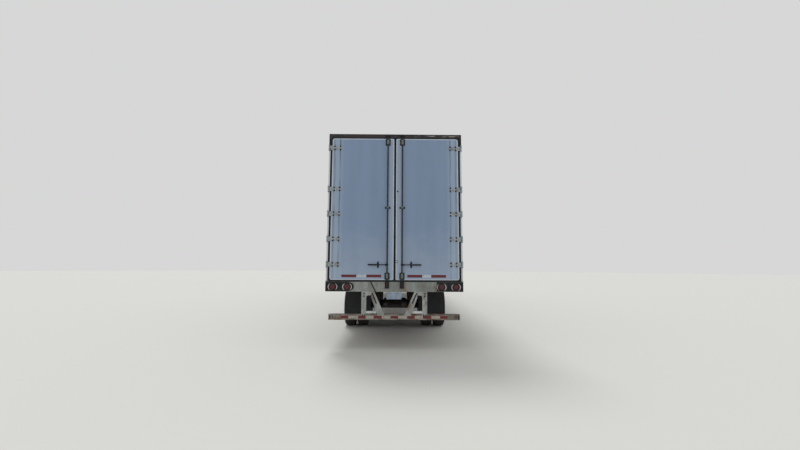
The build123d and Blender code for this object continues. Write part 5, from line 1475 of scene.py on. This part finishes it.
# Air tank: rolled shell with domed ends and weld seams, strapped to its two saddles
def airTank():
    size = {"radius": 0.130, "half": 0.375, "saddleY": 0.250, "plugs": ((0.12, 250), (-0.10, 250), (0.0, 200))}
    low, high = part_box("air_tank")
    centre = Vector(((low.x + high.x) / 2, 0, low.z + size["radius"]))
    radius, half = size["radius"], size["half"]
    side = [(half, 0.0005), (half - 0.003, 0.035), (half - 0.014, 0.075), (half - 0.032, 0.106),
            (half - 0.052, 0.122),
            (half - 0.072, radius - 0.003), (half - 0.076, radius - 0.0005), (half - 0.084, radius - 0.0005),
            (half - 0.088, radius - 0.002)]
    parts = [makeTurned(side + [(-along, r) for along, r in reversed(side)], centre, "Y", 48)]
    for y in (-size["saddleY"], size["saddleY"]):
        parts.append(
            makeBlock((low.x + 0.060, y - 0.020, centre.z + 0.060), (high.x - 0.060, y + 0.020, high.z), 0.004)
        )
        band = [(y - 0.018, radius - 0.001), (y - 0.018, radius), (y + 0.018, radius),
                (y + 0.018, radius - 0.001)]
        parts.append(makeTurned(band, centre, "Y", 48))
    for y, turn in size["plugs"]:
        way = onCircle(turn)
        parts.append(makeBolt(centre + way * (radius - 0.006) + Vector((0, y, 0)), way, 0.022, 0.006))
    finishPiece(parts, "airTank", "chassis", 38, node="air_tank")


# Bolt heads along the bottom rails, a pair at the end of each crossmember
def railBolts():
    size = {"pitch": 0.3048, "z": 1.190, "rise": 0.045, "beams": 47}
    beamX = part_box("crossmembers")[0].x + beamHalf
    rows = [
        rivetRows((beamX, sign * sideY, size["z"] + rise), (0, sign, 0), 0.0095, 0.0035,
                  (size["beams"], (size["pitch"], 0, 0)))
        for _, sign in sides for rise in (0.0, size["rise"])
    ]
    finishPiece(rows, "beamBolts", "aluminium")


axleBeams()
trailingArms()
sliderDetails()
airTank()
railBolts()
print("Running gear dressed")


# Nose connectors: two turned hose couplings with rubber seals, and a lidded lamp socket, on one plate
def noseConnectors():
    size = {"plate": 0.009, "halfZ": 0.055, "couplingY": 0.215, "bolts": (-0.285, -0.110, 0.110, 0.285),
            "boltRise": 0.035}
    low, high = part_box("nose_connectors")
    z = (low.z + high.z) / 2
    face = low.x + size["plate"]
    places = [(face, y, z + rise) for y in size["bolts"] for rise in (-size["boltRise"], size["boltRise"])]
    parts = [makeBlock((low.x, low.y, z - size["halfZ"]), (face, high.y, z + size["halfZ"]), 0.0025)]
    end = high.x - 0.017 - face
    coupling = [(0.0, 0.0005), (0.0, 0.030), (0.006, 0.030), (0.008, 0.022), (0.020, 0.020), (0.024, 0.031),
                (0.028, 0.034), (end - 0.004, 0.034), (end, 0.031), (end, 0.021), (end - 0.008, 0.019),
                (end - 0.008, 0.0005)]
    ring = [(end - 0.007, 0.008), (end, 0.009), (end, 0.0185), (end - 0.007, 0.0185)]
    rubbers = []
    for _, sign in sides:
        centre = Vector((face, sign * size["couplingY"], z))
        parts.append(makeTurned(coupling, centre, "X", 32))
        parts.append(makeBlock((face + 0.026, centre.y - 0.012, z - 0.052),
                               (face + 0.034, centre.y + 0.012, z - 0.028), 0.003))
        rubbers.append(makeTurned(ring, centre, "X", 28))
    end = high.x - face
    socket = [(0.0, 0.0005), (0.0, 0.040), (0.004, 0.042), (0.010, 0.036), (end - 0.016, 0.035),
              (end - 0.014, 0.041), (end - 0.004, 0.041), (end, 0.037), (end, 0.0005)]
    parts.append(makeTurned(socket, (face, 0, z), "X", 40))
    parts.append(
        makeRod((high.x - 0.009, -0.030, z + 0.0400), (high.x - 0.009, 0.030, z + 0.0400), 0.005, 16, 0.001)
    )
    parts.append(makeBlock((high.x - 0.014, -0.010, z - 0.052), (high.x - 0.006, 0.010, z - 0.036), 0.003))
    finishPiece(parts, "noseConnectors", "aluminium", 35, node="nose_connectors")
    finishPiece(rubbers, "couplingSeals", "seal", 35)
    finishPiece(boltsAt(places, (1, 0, 0), 0.016, 0.008), "connectorBolts", "bolt")


# Kingpin: collar, neck and lower flange turned from one forging, a ring of grease and plug bolts on its plate
def kingpinTurned():
    size = {"greaseIn": 0.040, "greaseOut": 0.300, "boltYs": (-0.90, -0.60, -0.30, 0.30, 0.60, 0.90),
            "boltIn": 0.06}
    low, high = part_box("kingpin")
    plateLow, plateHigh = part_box("coupler_plate")
    centre = ((low.x + high.x) / 2, 0, 0)
    base, top = low.z, high.z
    profile = [
        (base, 0.0005), (base, 0.030), (base + 0.002, 0.0335), (base + 0.005, 0.03575), (base + 0.018, 0.03575),
        (base + 0.020, 0.0345), (base + 0.0225, 0.0270), (base + 0.026, 0.0254), (top - 0.024, 0.0254),
        (top - 0.0205, 0.0270), (top - 0.018, 0.0365), (top - 0.001, 0.0365), (top, 0.0355), (top, 0.0005),
    ]
    finishPiece(
        makeTurned(profile, centre, "Z", 48), "kingpinTurned", "greased", 30, slot="cast_steel", node="kingpin"
    )
    under, over, inner, outer = plateLow.z - 0.0004, plateLow.z + 0.0006, size["greaseIn"], size["greaseOut"]
    grease = [(under, inner), (under, outer), (over, outer), (over, inner)]
    finishPiece(makeTurned(grease, centre, "Z", 48), "couplerGrease", "greased")
    places = [(plateHigh.x - size["boltIn"], y, plateLow.z) for y in size["boltYs"]]
    places += [(plateLow.x + size["boltIn"], y, plateLow.z) for y in (*size["boltYs"], 0.0)]
    finishPiece(boltsAt(places, (0, 0, -1), 0.020, 0.004, domed=True), "couplerBolts", "bolt")


# Landing gear: crank with its bends, cross shaft with couplers, gearbox cover, bolts, collars and foot axles
def landingGear():
    size = {"legY": 0.900, "halfLeg": 0.070, "shaftZ": 0.950, "crank": 0.011, "bend": 0.019, "lead": 0.030,
            "grip": 0.108, "shaft": 0.017, "shaftEnd": 0.83, "couplers": (-0.76, 0.76, 0.0), "footZ": 0.085}
    feetLow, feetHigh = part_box("landing_gear_feet")
    crankLow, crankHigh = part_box("landing_gear_crank")
    gearX, gearY, z = (feetLow.x + feetHigh.x) / 2, crankLow.y, size["shaftZ"]
    reachY, endX = crankHigh.y, crankLow.x
    radius, bend, lead = size["crank"], size["bend"], size["lead"]
    elbow = Vector((gearX - bend, reachY - lead, z))
    knee = Vector((endX + lead, reachY - radius - bend, z))
    path = [(gearX, gearY, z), (gearX, reachY - lead, z)]
    path += [elbow + onCircle(18 * step, "Z") * bend for step in range(1, 6)]
    path.append((endX + lead, reachY - radius, z))
    path += [knee + onCircle(90 + 18 * step, "Z") * bend for step in range(1, 6)]
    path.append((endX + radius, reachY - size["grip"], z))
    rods = [makeRod(start, end, radius, 20) for start, end in zip(path, path[1:])]
    for point in path[1:-1]:
        bpy.ops.mesh.primitive_uv_sphere_add(segments=16, ring_count=8, radius=radius, location=point)
        rods.append(applyPlace(bpy.context.object))
    collar = [(0.0, 0.0005), (0.0, 0.024), (0.012, 0.024), (0.016, 0.019), (0.034, 0.019), (0.036, 0.012),
              (0.036, 0.0005)]
    rods.append(makeTurned(collar, (gearX, gearY, z), "Y", 24))
    finishPiece(rods, "gearCrank", "doorGear", node="landing_gear_crank")

    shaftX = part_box("landing_gear_braces")[1].x - size["shaft"]
    shaft = [makeRod((shaftX, -size["shaftEnd"], z), (shaftX, size["shaftEnd"], z), size["shaft"], 28)]
    ring = [(-0.035, 0.0165), (-0.035, 0.024), (-0.032, 0.026), (0.032, 0.026), (0.035, 0.024), (0.035, 0.0165)]
    for y in size["couplers"]:
        shaft += [makeTurned(ring, (shaftX, y, z), "Y", 24),
                  makeBolt((shaftX + 0.024, y, z), (1, 0, 0), 0.014, 0.006)]
    finishPiece(shaft, "shaftCouplers", "doorGear", 35)

    cover = [(gearX + along, gearY, z + rise) for along in (-0.065, 0.0, 0.065) for rise in (-0.070, 0.070)]
    parts = [boltsAt(cover, (0, 1, 0), 0.016, 0.008)]
    parts.append(
        makeBlock((gearX - 0.078, gearY - 0.001, z - 0.083), (gearX + 0.078, gearY + 0.005, z + 0.083), 0.002)
    )
    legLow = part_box("landing_gear_legs")[0].z
    for _, sign in sides:
        legY, half, footZ = sign * size["legY"], size["halfLeg"], size["footZ"]
        rises = (1.050, 1.100) if sign > 0 else (1.000, 1.050, 1.100)
        places = [(gearX + along, legY + sign * half, rise) for rise in rises for along in (-0.045, 0.045)]
        parts.append(boltsAt(places, (0, sign, 0), 0.020, 0.010))
        places = [(gearX + half, legY + along, rise) for along in (-0.030, 0.030) for rise in (0.470, 1.060)]
        parts.append(boltsAt(places, (1, 0, 0), 0.018, 0.009))
        parts.append(makeBlock((gearX - 0.0745, legY - 0.0745, legLow),
                               (gearX + 0.0745, legY + 0.0745, legLow + 0.030), 0.003))
        parts.append(makeRod((gearX, legY - 0.068, footZ), (gearX, legY + 0.068, footZ), 0.014, 20, 0.002))
        for way in (-1, 1):
            face = legY + way * 0.0577
            parts.append(
                makeBlock((gearX - 0.045, face, 0.030), (gearX + 0.045, face + way * 0.006, 0.115), 0.003)
            )
    finishPiece(parts, "landingGearFittings", "chassis", 38)


# Roof: rivets of the sheet over every bow, and a rivet row along both edges
def roofDetails():
    size = {"bowPitch": 0.6096, "bows": 26, "firstY": -1.16, "across": 17, "acrossPitch": 0.145,
            "edgePitch": 0.1016}
    low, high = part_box("roof_sheet")
    top, up, pitch = high.z - 0.0004, (0, 0, 1), size["edgePitch"]
    rows = [rivetRows(
        (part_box("roof_bows")[0].x + 0.025, size["firstY"], top), up, 0.0055, 0.0016,
        (size["across"], (0, size["acrossPitch"], 0)), (size["bows"], (size["bowPitch"], 0, 0)),
    )]
    count = int((high.x - low.x - 0.1) / pitch)
    rows += [rivetRows((low.x + 0.05, sign * (high.y - 0.018), top), up, 0.0055, 0.0016, (count, (pitch, 0, 0)))
             for _, sign in sides]
    finishPiece(rows, "roofRivets", "aluminium")


# Front wall: strips over the joints of its four sheets, riveted both edges
def frontWall():
    size = {"joints": (-0.61, 0.0, 0.61), "half": 0.045, "proud": 0.0012, "rivetIn": 0.013, "rivets": 26,
            "pitch": 0.1016}
    face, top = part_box("front_wall")[1].x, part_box("front_wall")[1].z - 0.03
    beamZ, proud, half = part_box("front_beams")[0].z, face + size["proud"], size["half"]
    strips, rivets = [], []
    for y in size["joints"]:
        strips.append(makeBlock((face - 0.0002, y - half, beamZ + 0.16), (proud, y + half, top), 0.0005, 1))
        rivets.append(rivetRows(
            (proud, y - half + size["rivetIn"], beamZ + 0.20), (1, 0, 0), 0.005, 0.0014,
            (size["rivets"], (0, 0, size["pitch"])), (2, (0, 2 * (half - size["rivetIn"]), 0)),
        ))
    finishPiece(strips, "frontJoints", "whitePanel", 30)
    finishPiece(rivets, "frontRivets", "aluminium")


noseConnectors()
kingpinTurned()
landingGear()
roofDetails()
frontWall()
print("Nose, landing gear and roof dressed")


# Inside of the doors: a riveted aluminium frame round each panel and the nuts of the hinge straps' bolts
def doorInsides(sideName, sign):
    size = {"strip": 0.045, "proud": 0.0015, "pitch": 0.1524, "rivetUp": 0.06, "rivetIn": 0.10}
    low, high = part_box("door_panel_" + sideName)
    face, out, strip, pitch = high.x, high.x + size["proud"], size["strip"], size["pitch"]
    bars = (
        (low.y, low.z, low.y + strip, high.z), (high.y - strip, low.z, high.y, high.z),
        (low.y + strip, low.z, high.y - strip, low.z + strip),
        (low.y + strip, high.z - strip, high.y - strip, high.z),
    )
    parts = [makeBlock((face, y0, z0), (out, y1, z1), 0.0006, 1) for y0, z0, y1, z1 in bars]
    upright = (int((high.z - low.z - 0.1) / pitch), (0, 0, pitch))
    level = (int((high.y - low.y - 0.16) / pitch), (0, pitch, 0))
    rows = [((out, y, low.z + size["rivetUp"]), upright) for y in (low.y + strip / 2, high.y - strip / 2)]
    rows += [((out, low.y + size["rivetIn"], z), level) for z in (low.z + strip / 2, high.z - strip / 2)]
    parts += [rivetRows(place, (1, 0, 0), 0.005, 0.0014, row) for place, row in rows]
    finishPiece(parts, "doorInnerFrame_" + sideName, "edgeAluminiumHighlight", 30, "door_" + sideName)
    nuts = boltsAt(hingeBolts(face, sign), (1, 0, 0), 0.018, 0.007)
    finishPiece(nuts, "strapNuts_" + sideName, "bolt", body="door_" + sideName)


# Lining of the load space: sheets behind the posts, a riveted scuff band low down, a liner at the front
def wallLiners():
    size = {"thick": 0.0008, "top": 3.945, "band": 0.300, "bandProud": 0.004, "rivetIn": 0.020, "rivets": 155,
            "pitch": 0.1016, "frontThick": 0.004, "frontHalf": 1.13, "frontTop": 4.0}
    wallLow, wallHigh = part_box("side_walls")
    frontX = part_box("front_wall")[0].x
    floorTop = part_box("floor")[1].z
    liners, bands = [], []
    for _, sign in sides:
        face, proud = sign * linerY, sign * (linerY - size["bandProud"])
        liners.append(
            makeBlock((wallLow.x, face, floorTop), (wallHigh.x, face - sign * size["thick"], size["top"]))
        )
        bands.append(makeBlock((wallLow.x, face, floorTop + 0.001),
                               (wallHigh.x, proud, floorTop + size["band"]), 0.001, 1))
        bands.append(rivetRows(
            (wallLow.x + 0.05, proud, floorTop + size["rivetIn"]), (0, -sign, 0), 0.005, 0.0014,
            (size["rivets"], (size["pitch"], 0, 0)), (2, (0, 0, size["band"] - 2 * size["rivetIn"])),
        ))
    liners.append(makeBlock(
        (frontX - size["frontThick"], -size["frontHalf"], floorTop + 0.03),
        (frontX, size["frontHalf"], size["frontTop"]), 0.001, 1
    ))
    finishPiece(liners, "wallLiners", "lining", 30)
    finishPiece(bands, "scuffBands", "aluminium", 30)


# Floor: screws in pairs over each crossmember, and a steel threshold plate at the doors
def floorDetails():
    size = {"pitch": 0.3048, "beams": 46, "boards": 8, "boardPitch": 0.305, "screwGap": 0.105,
            "plate": 0.380, "plateHalf": 1.190, "thick": 0.0025, "studIn": 0.030, "studPitch": 0.209}
    floorLow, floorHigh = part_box("floor")
    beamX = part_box("crossmembers")[0].x + beamHalf
    screws = rivetRows(
        (beamX + size["pitch"], -1.18, floorHigh.z - 0.0003), (0, 0, 1), 0.006, 0.0009,
        (2, (0, size["screwGap"], 0)), (size["boards"], (0, size["boardPitch"], 0)),
        (size["beams"], (size["pitch"], 0, 0)),
    )
    finishPiece(screws, "floorScrews", "bolt")
    startX, half, top = floorLow.x, size["plateHalf"], floorHigh.z + size["thick"]
    plate = makeBlock((startX, -half, floorHigh.z - 0.0004), (startX + size["plate"], half, top), 0.001)
    studs = rivetRows(
        (startX + size["studIn"], -1.15, top), (0, 0, 1), 0.008, 0.0014,
        (2, (size["plate"] - 2 * size["studIn"], 0, 0)), (12, (0, size["studPitch"], 0)),
    )
    finishPiece([plate, studs], "thresholdPlate", "stepZinc", 30)


for sideName, sign in sides:
    doorInsides(sideName, sign)
wallLiners()
floorDetails()
print("Inside dressed")


# Camera at the photograph's place: behind the trailer, low, with a wide lens
def setCamera():
    view = {"behind": 7.133, "toRight": 0.033, "height": 1.541, "focalPixels": 375.5, "imageWidth": 800,
            "yaw": -0.53, "pitch": 6.29, "roll": 0.29}
    yaw, pitch, roll = (math.radians(view[name]) for name in ("yaw", "pitch", "roll"))
    forward = Vector((math.cos(pitch) * math.cos(yaw), math.cos(pitch) * math.sin(yaw), math.sin(pitch)))
    right = forward.cross(Vector((0, 0, 1))).normalized()
    up = right.cross(forward)
    turnedRight = right * math.cos(roll) + up * math.sin(roll)
    turnedUp = up * math.cos(roll) - right * math.sin(roll)
    data = bpy.data.cameras.new("photoCamera")
    data.sensor_width = 36.0
    data.lens = view["focalPixels"] / view["imageWidth"] * data.sensor_width
    data.clip_end = 500.0
    camera = bpy.data.objects.new("photoCamera", data)
    bpy.context.scene.collection.objects.link(camera)
    turned = Matrix((turnedRight, turnedUp, -forward)).transposed().to_4x4()
    camera.matrix_world = Matrix.Translation(
        (rearX - view["behind"], -view["toRight"], view["height"])
    ) @ turned
    bpy.context.scene.camera = camera


# Soft sky all round with a broad lamp high over the nose, so that the shade falls to the rear
def setLight():
    light = {"sky": 0.88, "lamp": 1.6, "softness": 20.0, "lampWay": (0.55, 0.22, 1.0), "floor": "#BFBFBB",
             "floorRadius": 120.0, "backdrop": "#D6D7D6"}
    world = bpy.data.worlds.new("studio")
    bpy.context.scene.world = world
    world.use_nodes = True
    tree = world.node_tree
    tree.nodes.clear()
    sky = addNode(tree, "Background", {"Color": (1, 1, 1, 1), "Strength": light["sky"]})
    seen = addNode(tree, "Background", {"Color": colour(light["backdrop"]), "Strength": 1.0})
    rays = addNode(tree, "LightPath").outputs
    direct = rays["Is Camera Ray"]
    for ray in ("Is Glossy Ray", "Is Transmission Ray"):
        direct = addNode(tree, "Math", {0: direct, 1: rays[ray]}, operation="MAXIMUM").outputs[0]
    mixed = addNode(tree, "MixShader", {0: direct, 1: sky.outputs[0], 2: seen.outputs[0]})
    addNode(tree, "OutputWorld", {"Surface": mixed.outputs[0]})
    bpy.ops.object.light_add(type="SUN", location=(6, 4, 12))
    lamp = bpy.context.object
    lamp.name = "keyLamp"
    lamp.data.energy = light["lamp"]
    lamp.data.angle = math.radians(light["softness"])
    lamp.rotation_euler = Vector(light["lampWay"]).to_track_quat("Z", "Y").to_euler()
    bpy.ops.mesh.primitive_circle_add(
        vertices=64, radius=light["floorRadius"], fill_type="NGON", location=(0, 0, 0)
    )
    floor = bpy.context.object
    floor.name = "studioFloor"
    paint, _, shader, _ = newFinish("studioFloor", Roughness=0.9)
    shader.inputs["Base Color"].default_value = colour(light["floor"])
    floor.data.materials.append(paint)


setCamera()
setLight()
bpy.context.scene.view_settings.view_transform = "Standard"
